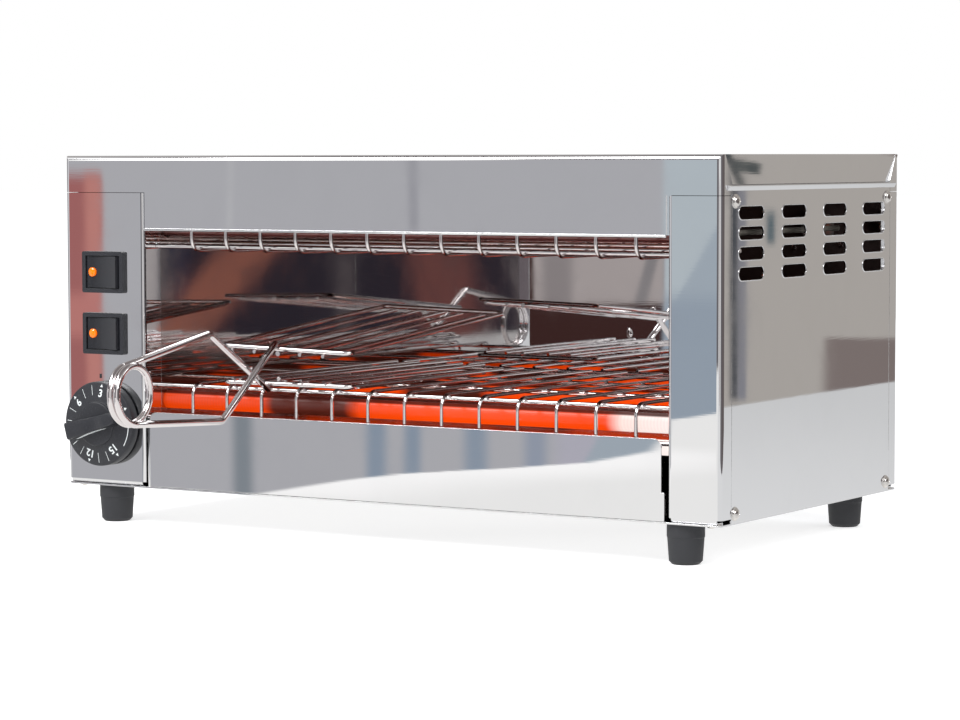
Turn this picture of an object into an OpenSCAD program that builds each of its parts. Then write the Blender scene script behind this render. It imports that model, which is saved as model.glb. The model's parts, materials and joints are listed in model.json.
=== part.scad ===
// Counter-top cheese melter: folded stainless case, quartz heater tubes above and
// below a wire grid, slide-out crumb tray, knob timer, two rocker switches and
// one pair of sprung wire tongs.  Millimetres, +Z up, front towards -Y.
// Body places are written as [across, depth behind the front plane, height above
// the base], and at_body() moves them into the part's frame.

/* [Body] */
// Width of the case
body_w = 450; // [420:5:520]
// Depth of the case
body_d = 226; // [222:1:250]
// Height of the case without its feet
body_h = 200; // [198:1:220]
// Sheet metal thickness
sheet_t = 1; // [0.8:0.1:1.2]
// Outer bend radius of the case's upright corners
bend_r = 3; // [2.5:0.25:3.5]
// Width of the control panel at the left of the opening
panel_w = 60; // [56:1:64]
// Width of the post at the right of the opening
post_w = 33; // [30:1:38]
// Height of the hood's edge over the posts and at the back
hood_edge_h = 22; // [20:1:23]
// Height of the hood's front between the posts
header_h = 45; // [40:1:47]
// Depth of the upright return beside each corner of the case
side_return = 11.7; // [11:0.1:13]
// How far each side of the hood leans in at its lower edge
hood_lean = 1.6; // [1:0.1:3]

/* [Side vents] */
// Length of a vent slot
vent_l = 30; // [24:1:36]
// Height of a vent slot
vent_h = 7.2; // [5:0.2:8]
// Distance of the first and last vent columns from the front and back of the case
vent_inset = 34.5; // [32:0.5:40]
// Number of vent columns
vent_columns = 4; // [3:1:4]
// Drop of the top vent row below the top of the case
vent_drop = 31.6; // [30:0.1:34]
// Distance between vent rows
vent_pitch_h = 11; // [10:0.1:14]

/* [Feet] */
// Height of a foot
foot_h = 22.5; // [16:0.5:30]
// Diameter of a foot at its top
foot_dia = 21; // [18:0.5:23]
// Foot centre from the side of the case
foot_inset_x = 28; // [24:1:34]
// Foot centre from the front or back of the case
foot_inset_d = 12.5; // [12:0.5:20]

/* [Heaters] */
// Outer diameter of a quartz tube
tube_dia = 11; // [10:0.2:12]
// Depth of the front tubes
tube_front_d = 24; // [23.5:0.5:26]
// Depth of the rear tubes
tube_rear_d = 172; // [160:1:180]
// Height of the lower tubes
tube_low_z = 52.4; // [52.2:0.2:53.2]
// Drop of the upper tubes below the top of the case
tube_drop = 43; // [40:0.2:43.4]
// Diameter of the coil inside a tube
element_dia = 6; // [4:0.2:6.6]

/* [Grids] */
// Number of front-to-back wires in a grid
wire_count = 13; // [9:1:13]
// Gap between the left chamber wall and the first wire
wire_margin = 32.9; // [28:0.1:36]
// Gap between the last wire and the right chamber wall
wire_end_margin = 21.7; // [16:0.1:26]
// Diameter of the front-to-back wires
wire_dia = 2.2; // [2:0.1:2.4]
// Diameter of the cross rods
rod_dia = 2.6; // [2.4:0.1:3]
// Height of the lower grid's wires
grid_low_z = 64; // [63.6:0.1:64.4]
// Drop of the upper grid's wires below the top of the case
grid_drop = 56.4; // [56:0.1:57.4]
// Depth of the hooked wire ends
hook_d = 4.6; // [4.4:0.1:5]
// Bend radius of the hooked wire ends
hook_r = 7; // [6.5:0.1:7.5]
// Length of the straight leg of a hook
hook_leg = 15.5; // [12:0.5:16]

/* [Crumb tray] */
// Height of the tray's front
tray_h = 46.2; // [44:0.1:46.3]
// Gap between the tray's front and the left post
tray_gap = 3.6; // [2:0.1:5]
// Corner radius of the tray's front
tray_r = 5; // [3:0.5:7]
// Height of the tray's walls
tray_wall_h = 16; // [10:1:20]
// Gap between the tray's rear wall and the back of the case
tray_rear_gap = 21; // [18:1:40]

/* [Controls] */
// Width of a switch bezel
bezel_w = 31; // [30:0.5:33]
// Height of a switch bezel
bezel_h = 25; // [24:0.5:28]
// Height of the upper switch
switch_high_z = 129.8; // [126:0.2:134]
// Height of the lower switch
switch_low_z = 92.6; // [88:0.2:96]
// How far a rocker tilts to each side
rocker_tilt = 6; // [4:1:7]
// Diameter of the timer's dial
dial_dia = 51.2; // [46:0.2:54]
// Height of the timer's axis
timer_z = 38.2; // [34:0.2:42]
// Angle that the grip's pointer stands below level
grip_angle = 15; // [0:1:30]

/* [Tongs] */
// Width of a paddle between its side wires
paddle_w = 90; // [84:1:94]
// Depth at which the paddles end
paddle_end_d = 170; // [160:1:180]
// Diameter of the paddle frame wire
frame_dia = 2.8; // [2.6:0.1:3]
// Diameter of the paddle rods
inner_dia = 2.2; // [1.8:0.1:2.4]
// Diameter of the arm and spring wire
arm_dia = 4; // [3.6:0.1:4]
// Distance of the spring's axis in front of the case
coil_reach = 133; // [125:1:145]
// Mean radius of the spring's coil
coil_r = 16; // [14:0.5:18]
// Height of the spring's axis
coil_z = 68.8; // [68:0.1:70]
// Tilt of the upper paddle in the rest pose
paddle_tilt = 5.3; // [4.6:0.1:5.6]

/* [Hidden] */
$fn = 64;

steel = "silver";
chrome = "gainsboro";
black = "dimgray";
fine = 0.01;            // overlap used where one cut runs through a face
seat_gap = 0.3;         // clearance between pieces that lift or slide apart
half_w = body_w / 2;
open_left = -half_w + panel_w;
open_right = half_w - post_w;
open_w = open_right - open_left;
panel_x = -half_w + panel_w / 2;
seam_z = body_h - hood_edge_h;
header_z = body_h - header_h;
vent_top = body_h - vent_drop;
vent_pitch_d = (body_d - 2 * vent_inset) / (vent_columns - 1);
tube_high_z = body_h - tube_drop;
grid_high_z = body_h - grid_drop;
wire_pitch = (open_w - wire_margin - wire_end_margin) / (wire_count - 1);
inner_return = 16;      // depth of the posts' returns beside the opening
inner_bend_r = 2.5;     // bend radius beside the opening and along the bottom
tab_l = 10;             // length of the joggled tab behind a side panel
foot_fold = 8;          // length of the returns that rest on the base pan
floor_z = sheet_t;      // top of the base pan's floor
side_top_z = seam_z + 5;      // top face of the side panels' upper bend
side_top_bend = 2.5;
side_top_fold = 9;
panel_gap = 0.3;
side_d0 = side_return + panel_gap;
side_d1 = body_d - side_d0;
hem_r = sheet_t + 0.25;
hem_len = 8;

gland_hole_r = 8;
gland_bore_r = 3.8;
gland_out = 7;          // how far the gland stands out of the back
gland_x = -half_w + 45;
gland_z = 40;
handle_reach = coil_reach + coil_r + arm_dia / 2;
front_y = -(body_d + gland_out - handle_reach) / 2;

module at_body() translate([0, front_y, foot_h]) children();

// ---------- shared shapes ----------

// A flat outline drawn as [depth, height] and carried across from x0 to x1
module across(x0, x1)
    translate([x0, 0, 0]) rotate([90, 0, 90]) linear_extrude(x1 - x0) children();

// A flat outline drawn as [across, height] and carried back from d0 to d1
module backward(d0, d1)
    translate([0, d1, 0]) rotate([90, 0, 0]) linear_extrude(d1 - d0) children();

// A flat outline drawn as [across, depth] and carried up from z0 to z1
module upward(z0, z1)
    translate([0, 0, z0]) linear_extrude(z1 - z0) children();

module rect_2d(x0, y0, x1, y1)
    translate([x0, y0]) square([x1 - x0, y1 - y0]);

module round_rect_2d(x0, y0, x1, y1, r) {
    rect_2d(x0 + r, y0, x1 - r, y1);
    rect_2d(x0, y0 + r, x1, y1 - r);
    for (x = [x0 + r, x1 - r]) for (y = [y0 + r, y1 - r]) translate([x, y]) circle(r);
}

module slot_2d(len, h) {
    square([len - h, h], center = true);
    for (s = [-1, 1]) translate([s * (len - h) / 2, 0]) circle(h / 2);
}

// Quarter of a bent sheet: centre of the bend at the origin, in the quadrant turn * 90
module bend_2d(r, turn) rotate(turn * 90) intersection() {
    difference() {
        circle(r);
        circle(r - sheet_t);
    }
    square(r);
}

module rod_x(x0, x1, d, z, r) translate([x0, d, z]) rotate([0, 90, 0]) cylinder(h = x1 - x0, r = r);
module rod_d(d0, d1, x, z, r) translate([x, d0, z]) rotate([-90, 0, 0]) cylinder(h = d1 - d0, r = r);
module rod_z(z0, z1, x, d, r) translate([x, d, z0]) cylinder(h = z1 - z0, r = r);

// Domed screw, its head's seat at the origin and its shank towards -Z
module screw(head_r, head_h, shank_r, shank_l) {
    dome_r = (head_r * head_r + head_h * head_h) / (2 * head_h);
    intersection() {
        translate([0, 0, head_h - dome_r]) sphere(dome_r);
        cylinder(h = head_h, r = head_r);
    }
    translate([0, 0, -shank_l]) cylinder(h = shank_l, r = shank_r);
}

// ---------- case ----------

base_inset = 0.3;
base_flange_h = 14;
base_screw_x = half_w - 8.5;
base_screw_d = 5.5;
screw_r = 1.7;
screw_hole_r = 1.75;
foot_screw_r = 2;
foot_x = half_w - foot_inset_x;

module each_corner(x, d) for (sx = [-1, 1]) for (dd = [d, body_d - d]) translate([sx * x, dd, 0]) children();

module base_pan() color(steel) at_body() {
    flange_x = half_w - 2 * sheet_t;
    flange_d = side_d0 + tab_l + 3;
    difference() {
        upward(0, floor_z) round_rect_2d(-half_w + base_inset, base_inset,
            half_w - base_inset, body_d - base_inset, 2);
        each_corner(foot_x, foot_inset_d) translate([0, 0, -fine]) cylinder(h = 3 * sheet_t, r = foot_screw_r + 0.1);
        each_corner(base_screw_x, base_screw_d) translate([0, 0, -fine]) cylinder(h = 3 * sheet_t, r = screw_hole_r);
    }
    for (s = [0, 1]) mirror([s, 0, 0]) across(flange_x, flange_x + sheet_t)
        rect_2d(flange_d, 0, body_d - flange_d, base_flange_h);
}

module base_screws() color(chrome) at_body()
    each_corner(base_screw_x, base_screw_d) mirror([0, 0, 1]) screw(3.2, 1.5, screw_r, 3 * sheet_t + 3);

foot_recess_r = 5;
foot_recess_h = 11;
module foot(sx, at_back) color(black) at_body()
    translate([sx * foot_x, at_back ? body_d - foot_inset_d : foot_inset_d, -foot_h]) {
        r_top = foot_dia / 2;
        r_low = r_top - 1.2;
        chamfer = 1.8;
        rotate_extrude() difference() {
            polygon([[0, 0], [r_low - chamfer, 0], [r_low, chamfer], [r_top - 0.3, foot_h - 8],
                [r_top, foot_h - 7.4], [r_top, foot_h], [0, foot_h]]);
            rect_2d(-1, -1, foot_recess_r, foot_recess_h);
            rect_2d(-1, -1, foot_screw_r + 0.2, foot_h + 1);
        }
    }
module foot_front_left() foot(-1, false);
module foot_front_right() foot(1, false);
module foot_rear_left() foot(-1, true);
module foot_rear_right() foot(1, true);

// A screw from below through each foot, with its washer and the nut above the base pan
module foot_screws() color(steel) at_body() each_corner(foot_x, foot_inset_d) {
    seat_z = foot_recess_h - foot_h;
    nut_h = 3.2;
    translate([0, 0, seat_z - 1]) cylinder(h = 1, r = foot_recess_r - 0.4);
    translate([0, 0, seat_z - 4]) cylinder(h = 3, r = 3.6);
    translate([0, 0, seat_z - fine]) cylinder(h = floor_z + nut_h + 2 - seat_z, r = foot_screw_r);
    translate([0, 0, floor_z]) cylinder(h = nut_h, r = 4, $fn = 6);
}

// Outer skin of the hood, or its inner face when inset by the sheet
module hood_block(inset, z0) {
    r = bend_r - inset;
    d0 = inset;
    d1 = body_d - inset;
    z1 = body_h - inset;
    intersection() {
        across(-body_w, body_w) {
            rect_2d(d0, z0, d1, z1 - r);
            rect_2d(d0 + r, z0, d1 - r, z1);
            for (d = [d0 + r, d1 - r]) translate([d, z1 - r]) circle(r);
        }
        upward(z0, body_h + 1) round_rect_2d(-half_w + inset, d0, half_w - inset, d1, r);
    }
}

mitre_top_d = 4;        // depth where the hood's lean starts, at its top
mitre_z0 = side_top_z + 1.7;
header_gap = 0.9;       // slit between the header and a post

module hem_2d(z0, len) {
    translate([hem_r, z0 + hem_r]) intersection() {
        difference() {
            circle(hem_r);
            circle(hem_r - sheet_t);
        }
        rect_2d(-hem_r, -hem_r, hem_r, 0);
    }
    rect_2d(2 * hem_r - sheet_t, z0 + hem_r, 2 * hem_r, z0 + hem_r + len);
}

// Space outside a leaning side of the hood, grown by inset; its ends are the mitres
module side_scoop(inset) intersection() {
    across(-body_w, body_w) polygon([
        [side_return - inset, seam_z - 2], [side_return - inset, mitre_z0],
        [mitre_top_d - inset, body_h], [mitre_top_d - inset, body_h + 1],
        [body_d - mitre_top_d + inset, body_h + 1], [body_d - mitre_top_d + inset, body_h],
        [body_d - side_return + inset, mitre_z0], [body_d - side_return + inset, seam_z - 2]]);
    for (s = [0, 1]) mirror([s, 0, 0]) backward(-1, body_d + 1) polygon([
        [half_w - inset, body_h + 1], [half_w - inset, body_h],
        [half_w - inset - hood_lean, side_top_z], [half_w - inset - hood_lean, seam_z - 2],
        [half_w + 1, seam_z - 2], [half_w + 1, body_h + 1]]);
}

module top_hood() color(steel) at_body() {
    difference() {
        hood_block(0, seam_z);
        side_scoop(0);
        difference() {
            hood_block(sheet_t, seam_z - 1);
            side_scoop(sheet_t);
        }
        // the sides end on top of the side panels
        upward(seam_z - 1, side_top_z) {
            rect_2d(-half_w + sheet_t, sheet_t, half_w - sheet_t, body_d - sheet_t);
            rect_2d(-half_w - 1, side_return, half_w + 1, body_d - side_return);
        }
    }
    across(open_left + header_gap, open_right - header_gap) {
        rect_2d(0, header_z + hem_r, sheet_t, seam_z + 1);
        hem_2d(header_z, hem_len);
    }
}

// Plan of a corner's return and the tab that the side panel screws to
module corner_return_2d() {
    translate([bend_r, bend_r]) bend_2d(bend_r, 2);
    rect_2d(0, bend_r, sheet_t, side_return);
    rect_2d(sheet_t, side_return - 1.5, 2 * sheet_t, side_return + tab_l);
}

screw_low_z = 4.5 + 1.5;
screw_high_z = seam_z - 3.2;
side_screw_d = side_d0 + 4;

// Front post folded from one sheet: face, outer return with its tab, return beside the
// opening and a fold along the bottom that rests on the base pan
module front_post(width) {
    fold_z = floor_z + inner_bend_r;
    difference() {
        upward(fold_z, seam_z - panel_gap) {
            corner_return_2d();
            rect_2d(bend_r, 0, width - inner_bend_r, sheet_t);
            translate([width - inner_bend_r, inner_bend_r]) bend_2d(inner_bend_r, 3);
            rect_2d(width - sheet_t, inner_bend_r, width, inner_return);
        }
        for (z = [screw_low_z, screw_high_z])
            rod_x(-1, 3 * sheet_t, side_screw_d, z, screw_hole_r);
    }
    across(bend_r, width - inner_bend_r) {
        translate([inner_bend_r, fold_z]) bend_2d(inner_bend_r, 2);
        rect_2d(inner_bend_r, floor_z, foot_fold, floor_z + sheet_t);
    }
}

grid_rod_drop = (wire_dia + rod_dia) / 2;
rod_front_d = hook_d + hook_r + rod_dia / 2 + 0.3;
guard_d = hook_d + grid_rod_drop;
grid_rod_d = [rod_front_d, 80, 150, body_d - 12];
rod_hole_r = rod_dia / 2 + 0.3;
tube_hole_r = tube_dia / 2 + 0.6;
low_rod_z = grid_low_z - grid_rod_drop;
high_rod_z = grid_high_z + grid_rod_drop;
guard_low_z = grid_low_z - hook_r - hook_leg + 1.5;
guard_high_z = grid_high_z + hook_r + hook_leg - 1.5;

// Holes for the heater tubes and the grids' rods, through a wall at x
module chamber_holes(x) {
    for (d = [tube_front_d, tube_rear_d]) for (z = [tube_low_z, tube_high_z])
        rod_x(x - 4, x + 4, d, z, tube_hole_r);
    for (d = grid_rod_d) for (z = [low_rod_z, high_rod_z]) rod_x(x - 4, x + 4, d, z, rod_hole_r);
    for (z = [guard_low_z, guard_high_z]) rod_x(x - 4, x + 4, guard_d, z, rod_hole_r);
}

// Holes in the fold along the bottom: for a base screw, and room for a foot's nut
module fold_holes(s) {
    translate([s * base_screw_x, base_screw_d, 0]) cylinder(h = 3 * sheet_t, r = screw_hole_r);
    translate([s * foot_x, foot_inset_d, 0]) cylinder(h = nut_room_h, r = nut_room_r);
}
nut_room_r = 6;
nut_room_h = 8;

cut_w = bezel_w - 2.5;
cut_h = bezel_h - 3;
timer_shaft_r = 3;
timer_hole_r = 5;
timer_screw_x = 10;

module control_panel() color(steel) at_body() difference() {
    translate([-half_w, 0, 0]) front_post(panel_w);
    chamber_holes(open_left);
    for (z = [switch_high_z, switch_low_z]) translate([panel_x, sheet_t / 2, z])
        cube([cut_w, 3 * sheet_t, cut_h], center = true);
    rod_d(-1, 2, panel_x, timer_z, timer_hole_r);
    for (s = [-1, 1]) rod_d(-1, 2, panel_x + s * timer_screw_x, timer_z, screw_hole_r);
    fold_holes(-1);
}

module right_post() color(steel) at_body() difference() {
    translate([half_w, 0, 0]) mirror([1, 0, 0]) front_post(post_w);
    chamber_holes(open_right);
    fold_holes(1);
}

vent_rows = 4;
module side_panel(s) color(steel) at_body() mirror([s > 0 ? 0 : 1, 0, 0]) {
    top_z = side_top_z - side_top_bend;
    across(half_w - sheet_t, half_w) difference() {
        rect_2d(side_d0, floor_z, side_d1, top_z);
        for (c = [0 : vent_columns - 1]) for (r = [0 : vent_rows - 1])
            translate([vent_inset + c * vent_pitch_d, vent_top - r * vent_pitch_h]) slot_2d(vent_l, vent_h);
        for (d = [side_screw_d, body_d - side_screw_d]) for (z = [screw_low_z, screw_high_z])
            translate([d, z]) circle(screw_hole_r);
    }
    backward(side_d0, side_d1) {
        translate([half_w - side_top_bend, top_z]) bend_2d(side_top_bend, 0);
        rect_2d(half_w - side_top_bend - side_top_fold, side_top_z - sheet_t,
            half_w - side_top_bend, side_top_z);
    }
}
module left_side_panel() side_panel(-1);
module right_side_panel() side_panel(1);

module side_screws() color(chrome) at_body()
    for (s = [-1, 1]) for (d = [side_screw_d, body_d - side_screw_d]) for (z = [screw_low_z, screw_high_z])
        translate([s * half_w, d, z]) rotate([0, s * 90, 0]) screw(3.9, 2.2, screw_r, 8);

module back_panel() color(steel) at_body() {
    fold_z = floor_z + inner_bend_r;
    difference() {
        upward(fold_z, seam_z - panel_gap) translate([0, body_d]) mirror([0, 1]) {
            for (s = [0, 1]) mirror([s, 0]) translate([-half_w, 0]) corner_return_2d();
            rect_2d(-half_w + bend_r, 0, half_w - bend_r, sheet_t);
        }
        rod_d(body_d - 5, body_d + 5, gland_x, gland_z, gland_hole_r);
        for (z = [screw_low_z, screw_high_z])
            rod_x(-half_w - 1, half_w + 1, body_d - side_screw_d, z, screw_hole_r);
    }
    difference() {
        across(-half_w + bend_r, half_w - bend_r) translate([body_d, 0]) mirror([1, 0]) {
            translate([inner_bend_r, fold_z]) bend_2d(inner_bend_r, 2);
            rect_2d(inner_bend_r, floor_z, foot_fold, floor_z + sheet_t);
        }
        each_corner(base_screw_x, base_screw_d) cylinder(h = 3 * sheet_t, r = screw_hole_r);
        each_corner(foot_x, foot_inset_d) cylinder(h = nut_room_h, r = nut_room_r);
    }
}

gland_seat = 3;
module cable_gland() color(black) at_body() translate([gland_x, body_d, gland_z]) rotate([-90, 0, 0])
    difference() {
        union() {
            translate([0, 0, -12]) cylinder(h = 12 + fine, r = gland_hole_r - 0.2);
            cylinder(h = gland_seat, r = 10.5);
            translate([0, 0, gland_seat - fine]) cylinder(h = gland_out - gland_seat + fine, r1 = 9, r2 = 7);
        }
        translate([0, 0, -13]) cylinder(h = gland_out + 14, r = gland_bore_r);
    }
module gland_nut() color(black) at_body() translate([gland_x, body_d - sheet_t - 5, gland_z]) rotate([-90, 0, 0])
    difference() {
        cylinder(h = 5, r = 11.5, $fn = 6);
        translate([0, 0, -1]) cylinder(h = 7, r = gland_hole_r - 0.15);
    }

// ---------- heating chamber ----------

wall_d0 = inner_return + panel_gap;
wall_d1 = body_d - sheet_t - panel_gap;
wall_top_z = seam_z - 2;
wall_fold = 10;

module chamber_wall(x, s) difference() {
    union() {
        across(x, x + sheet_t) difference() {
            rect_2d(wall_d0, floor_z, wall_d1, wall_top_z);
            // over the back panel's bottom fold
            rect_2d(body_d - foot_fold - panel_gap, floor_z - 1, body_d, floor_z + inner_bend_r + panel_gap);
        }
        for (z = [floor_z, wall_top_z - sheet_t])
            backward(wall_d0 + wall_fold_inset, body_d - foot_inset_d - nut_room_r - 1)
                rect_2d(s > 0 ? x : x - wall_fold + sheet_t, z, s > 0 ? x + wall_fold : x + sheet_t, z + sheet_t);
    }
    chamber_holes(x);
}
wall_fold_inset = 4;
module chamber_wall_left() color(steel) at_body() chamber_wall(open_left - sheet_t, -1);
module chamber_wall_right() color(steel) at_body() chamber_wall(open_right, 1);

reflector_d0 = 12;
reflector_lip = 8.5;
low_reflector_z = 36;
high_reflector_z = body_h - 29;
reflector_end = 6;

// Reflector trough across the chamber: up is 1 for lips that rise, -1 for lips that hang
module reflector(z, up) {
    d1 = body_d - 6;
    across(open_left, open_right) {
        rect_2d(reflector_d0, z, d1, z + sheet_t);
        for (d = [reflector_d0, d1 - sheet_t])
            rect_2d(d, up > 0 ? z : z + sheet_t - reflector_lip, d + sheet_t, up > 0 ? z + reflector_lip : z + sheet_t);
    }
    for (x = [open_left, open_right - sheet_t]) backward(wall_d0 + 2, d1 - 4)
        rect_2d(x, up > 0 ? z - reflector_end : z, x + sheet_t, up > 0 ? z + sheet_t : z + reflector_end);
}
module lower_reflector() color(chrome) at_body() reflector(low_reflector_z, 1);
module upper_reflector() color(chrome) at_body() reflector(high_reflector_z, -1);

tube_out = 6;           // how far a tube runs into each side compartment
tube_bore_r = tube_dia / 2 - 1;
module quartz_tube(d, z) color("orangered") at_body() difference() {
    rod_x(open_left - tube_out, open_right + tube_out, d, z, tube_dia / 2);
    rod_x(open_left - tube_out - 1, open_right + tube_out + 1, d, z, tube_bore_r);
}
module tube_lower_front() quartz_tube(tube_front_d, tube_low_z);
module tube_lower_rear() quartz_tube(tube_rear_d, tube_low_z);
module tube_upper_front() quartz_tube(tube_front_d, tube_high_z);
module tube_upper_rear() quartz_tube(tube_rear_d, tube_high_z);

module each_tube() for (d = [tube_front_d, tube_rear_d]) for (z = [tube_low_z, tube_high_z])
    translate([0, d, z]) children();

holder_r = 8.2;
holder_l = 12;
holder_rim = 3;
pin_r = 1.2;
pin_out = holder_l + sheet_t + 3;       // how far a pin reaches past the chamber's side
lead_r = 1.6;
// One element per tube: a close-wound coil with a straight pin at each end
module heating_coils() color("firebrick") at_body() each_tube() {
    coil_margin = 4;
    rod_x(open_left + coil_margin, open_right - coil_margin, 0, 0, element_dia / 2);
    rod_x(open_left - pin_out, open_right + pin_out, 0, 0, pin_r);
}

// Ceramic caps: each slides over a tube's end, carries the pin and rests on the chamber wall
module tube_holders() color("ivory") at_body() each_tube() for (s = [-1, 1]) {
    wall = s < 0 ? open_left - sheet_t : open_right + sheet_t;
    translate([wall, 0, 0]) rotate([0, s * 90, 0]) difference() {
        union() {
            cylinder(h = holder_l, r = holder_r);
            cylinder(h = holder_rim, r = holder_r + 1.4);
        }
        translate([0, 0, -1]) cylinder(h = tube_out - sheet_t + 1 + seat_gap, r = tube_dia / 2 + 0.1);
        translate([0, 0, -1]) cylinder(h = holder_l + 2, r = pin_r + 0.1);
    }
}

// Hooked front end of a wire, a bend and a leg; s is 1 for a leg that hangs down and -1
// for one that stands up
module wire_hook(x, z, s) {
    r = wire_dia / 2;
    translate([x, hook_d + hook_r, z - s * hook_r]) rotate([0, -90, 0]) rotate([0, 0, s > 0 ? -90 : 180])
        rotate_extrude(angle = 90) translate([hook_r, 0]) circle(r);
    leg_end = z - s * (hook_r + hook_leg);
    rod_z(min(leg_end, z - s * hook_r), max(leg_end, z - s * hook_r), x, hook_d, r);
}

grid_weld = 0.25;       // depth by which a wire sinks into the rod that it is welded to
hook_seam = 0.02;       // between a wire's straight run and its hooked end
module each_wire() for (i = [0 : wire_count - 1])
    translate([open_left + wire_margin + i * wire_pitch, 0, 0]) children();
module cross_rod(d, z)
    rod_x(open_left - sheet_t - 2, open_right + sheet_t + 2, d, z, rod_dia / 2);

// Flat part of a grid: the wires' straight runs on their cross rods
module wire_grid(z, s) {
    each_wire() rod_d(hook_d + hook_r + hook_seam, body_d - 8, 0, z, wire_dia / 2);
    for (d = grid_rod_d) cross_rod(d, z - s * (grid_rod_drop - grid_weld));
}

// Upright guard at a grid's front: the wires' hooked ends on their rod
module wire_guard(z, s) {
    each_wire() wire_hook(0, z, s);
    cross_rod(guard_d - grid_weld, s > 0 ? guard_low_z : guard_high_z);
}
module lower_grid() color(chrome) at_body() wire_grid(grid_low_z, 1);
module upper_grid() color(chrome) at_body() wire_grid(grid_high_z, -1);
module lower_guard() color(chrome) at_body() wire_guard(grid_low_z, 1);
module upper_guard() color(chrome) at_body() wire_guard(grid_high_z, -1);

// ---------- crumb tray ----------

tray_x0 = open_left + tray_gap;
tray_x1 = open_right - tray_gap;
tray_step = 1.9;        // the front is this much wider below its shoulder
tray_step_z = 17;
tray_low_z = floor_z + seat_gap;

module tray_front() color(steel) at_body() {
    backward(0, sheet_t) {
        difference() {
            round_rect_2d(tray_x0, tray_low_z - 10, tray_x1, tray_h, tray_r);
            rect_2d(tray_x0 - 1, tray_low_z - 11, tray_x1 + 1, tray_low_z);
        }
        rect_2d(tray_x1 - tray_r, tray_low_z, tray_x1 + tray_step, tray_step_z);
    }
    backward(sheet_t, sheet_t + 0.8) rect_2d(tray_x0 + 8, tray_h - 9, tray_x1 - 8, tray_h - 1);
}

module tray_pan() color(steel) at_body() {
    x0 = tray_x0 + 1;
    x1 = tray_x1 - 1;
    d0 = sheet_t;
    d1 = body_d - tray_rear_gap;
    z0 = tray_low_z;
    corner_r = 2;
    difference() {
        upward(z0, z0 + tray_wall_h) round_rect_2d(x0, d0, x1, d1, corner_r);
        upward(z0 + sheet_t, z0 + tray_wall_h + 1)
            round_rect_2d(x0 + sheet_t, d0 + sheet_t, x1 - sheet_t, d1 - sheet_t, corner_r - sheet_t);
    }
}

// ---------- controls ----------

bezel_out = 2.4;        // how far a bezel stands out of the panel
rocker_r = bezel_w / 2 - 2.9;        // the rocker's ends turn on this radius
rocker_pivot_d = 1.5;
rocker_h = bezel_h - 5.8;
window_w = 2 * (rocker_r + 0.3);
window_h = rocker_h + 0.6;
cavity_d = 9;
switch_depth = 24;
rocker_pin_r = 1.5;

module switch_body(z) color(black) at_body() translate([panel_x, 0, z]) difference() {
    union() {
        backward(-bezel_out, 0) round_rect_2d(-bezel_w / 2, -bezel_h / 2, bezel_w / 2, bezel_h / 2, 1.2);
        backward(-fine, switch_depth) rect_2d(-cut_w / 2 + 0.2, -cut_h / 2 + 0.2, cut_w / 2 - 0.2, cut_h / 2 - 0.2);
    }
    backward(-bezel_out - 1, cavity_d + rocker_pivot_d)
        rect_2d(-window_w / 2, -window_h / 2, window_w / 2, window_h / 2);
    rod_z(-window_h / 2 - 0.6, window_h / 2 + 0.6, 0, rocker_pivot_d, rocker_pin_r + 0.05);
}
module upper_switch_body() switch_body(switch_high_z);
module lower_switch_body() switch_body(switch_low_z);

lens_r = 2.7;
lens_x = -7.8;
lens_len = 2.1;
lens_dome = 1;
rocker_face_mid = 3;
rocker_face_end = 4.5;
face_steps = 12;
lens_seat = rocker_face_mid - 0.6;
// Rocker in its own frame: pivot at the origin, -Y towards the user, a dished face
module rocker_shape() {
    back = 4.6;
    difference() {
        union() {
            upward(-rocker_h / 2, rocker_h / 2) intersection() {
                circle(rocker_r);
                polygon(concat([for (i = [-face_steps : face_steps]) let (k = i / face_steps)
                    [k * rocker_r, -rocker_face_mid - (rocker_face_end - rocker_face_mid) * k * k]],
                    [[rocker_r, -1], [5, back], [-5, back], [-rocker_r, -1]]));
            }
        rod_z(-rocker_h / 2 - 0.7, rocker_h / 2 + 0.7, 0, 0, rocker_pin_r);
        }
        rod_d(-rocker_r, -lens_seat, lens_x, 0, lens_r + 0.05);
    }
}
module lens_shape() translate([lens_x, -lens_seat, 0]) rotate([90, 0, 0]) intersection() {
    ball_r = (lens_r * lens_r + lens_dome * lens_dome) / (2 * lens_dome);
    cylinder(h = lens_len + lens_dome, r = lens_r);
    translate([0, 0, lens_len + lens_dome - ball_r]) sphere(ball_r);
}

module at_rocker(z) at_body() translate([panel_x, rocker_pivot_d, z]) rotate([0, 0, -rocker_tilt]) children();
module upper_rocker() color(black) at_rocker(switch_high_z) rocker_shape();
module lower_rocker() color(black) at_rocker(switch_low_z) rocker_shape();
module upper_lens() color("darkorange") at_rocker(switch_high_z) lens_shape();
module lower_lens() color("darkorange") at_rocker(switch_low_z) lens_shape();

// Flat push-on tabs behind the switches
tab_t = 0.8;
tab_w = 4.8;
tab_out = 8;
tab_pitch_x = 8;
tab_pitch_z = 9;
module switch_tabs() color("goldenrod") at_body()
    for (z = [switch_high_z, switch_low_z]) for (i = [-1 : 1]) for (k = [-0.5, 0.5])
        translate([panel_x + i * tab_pitch_x - tab_t / 2, switch_depth, z + k * tab_pitch_z - tab_w / 2])
            cube([tab_t, tab_out, tab_w]);

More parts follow.
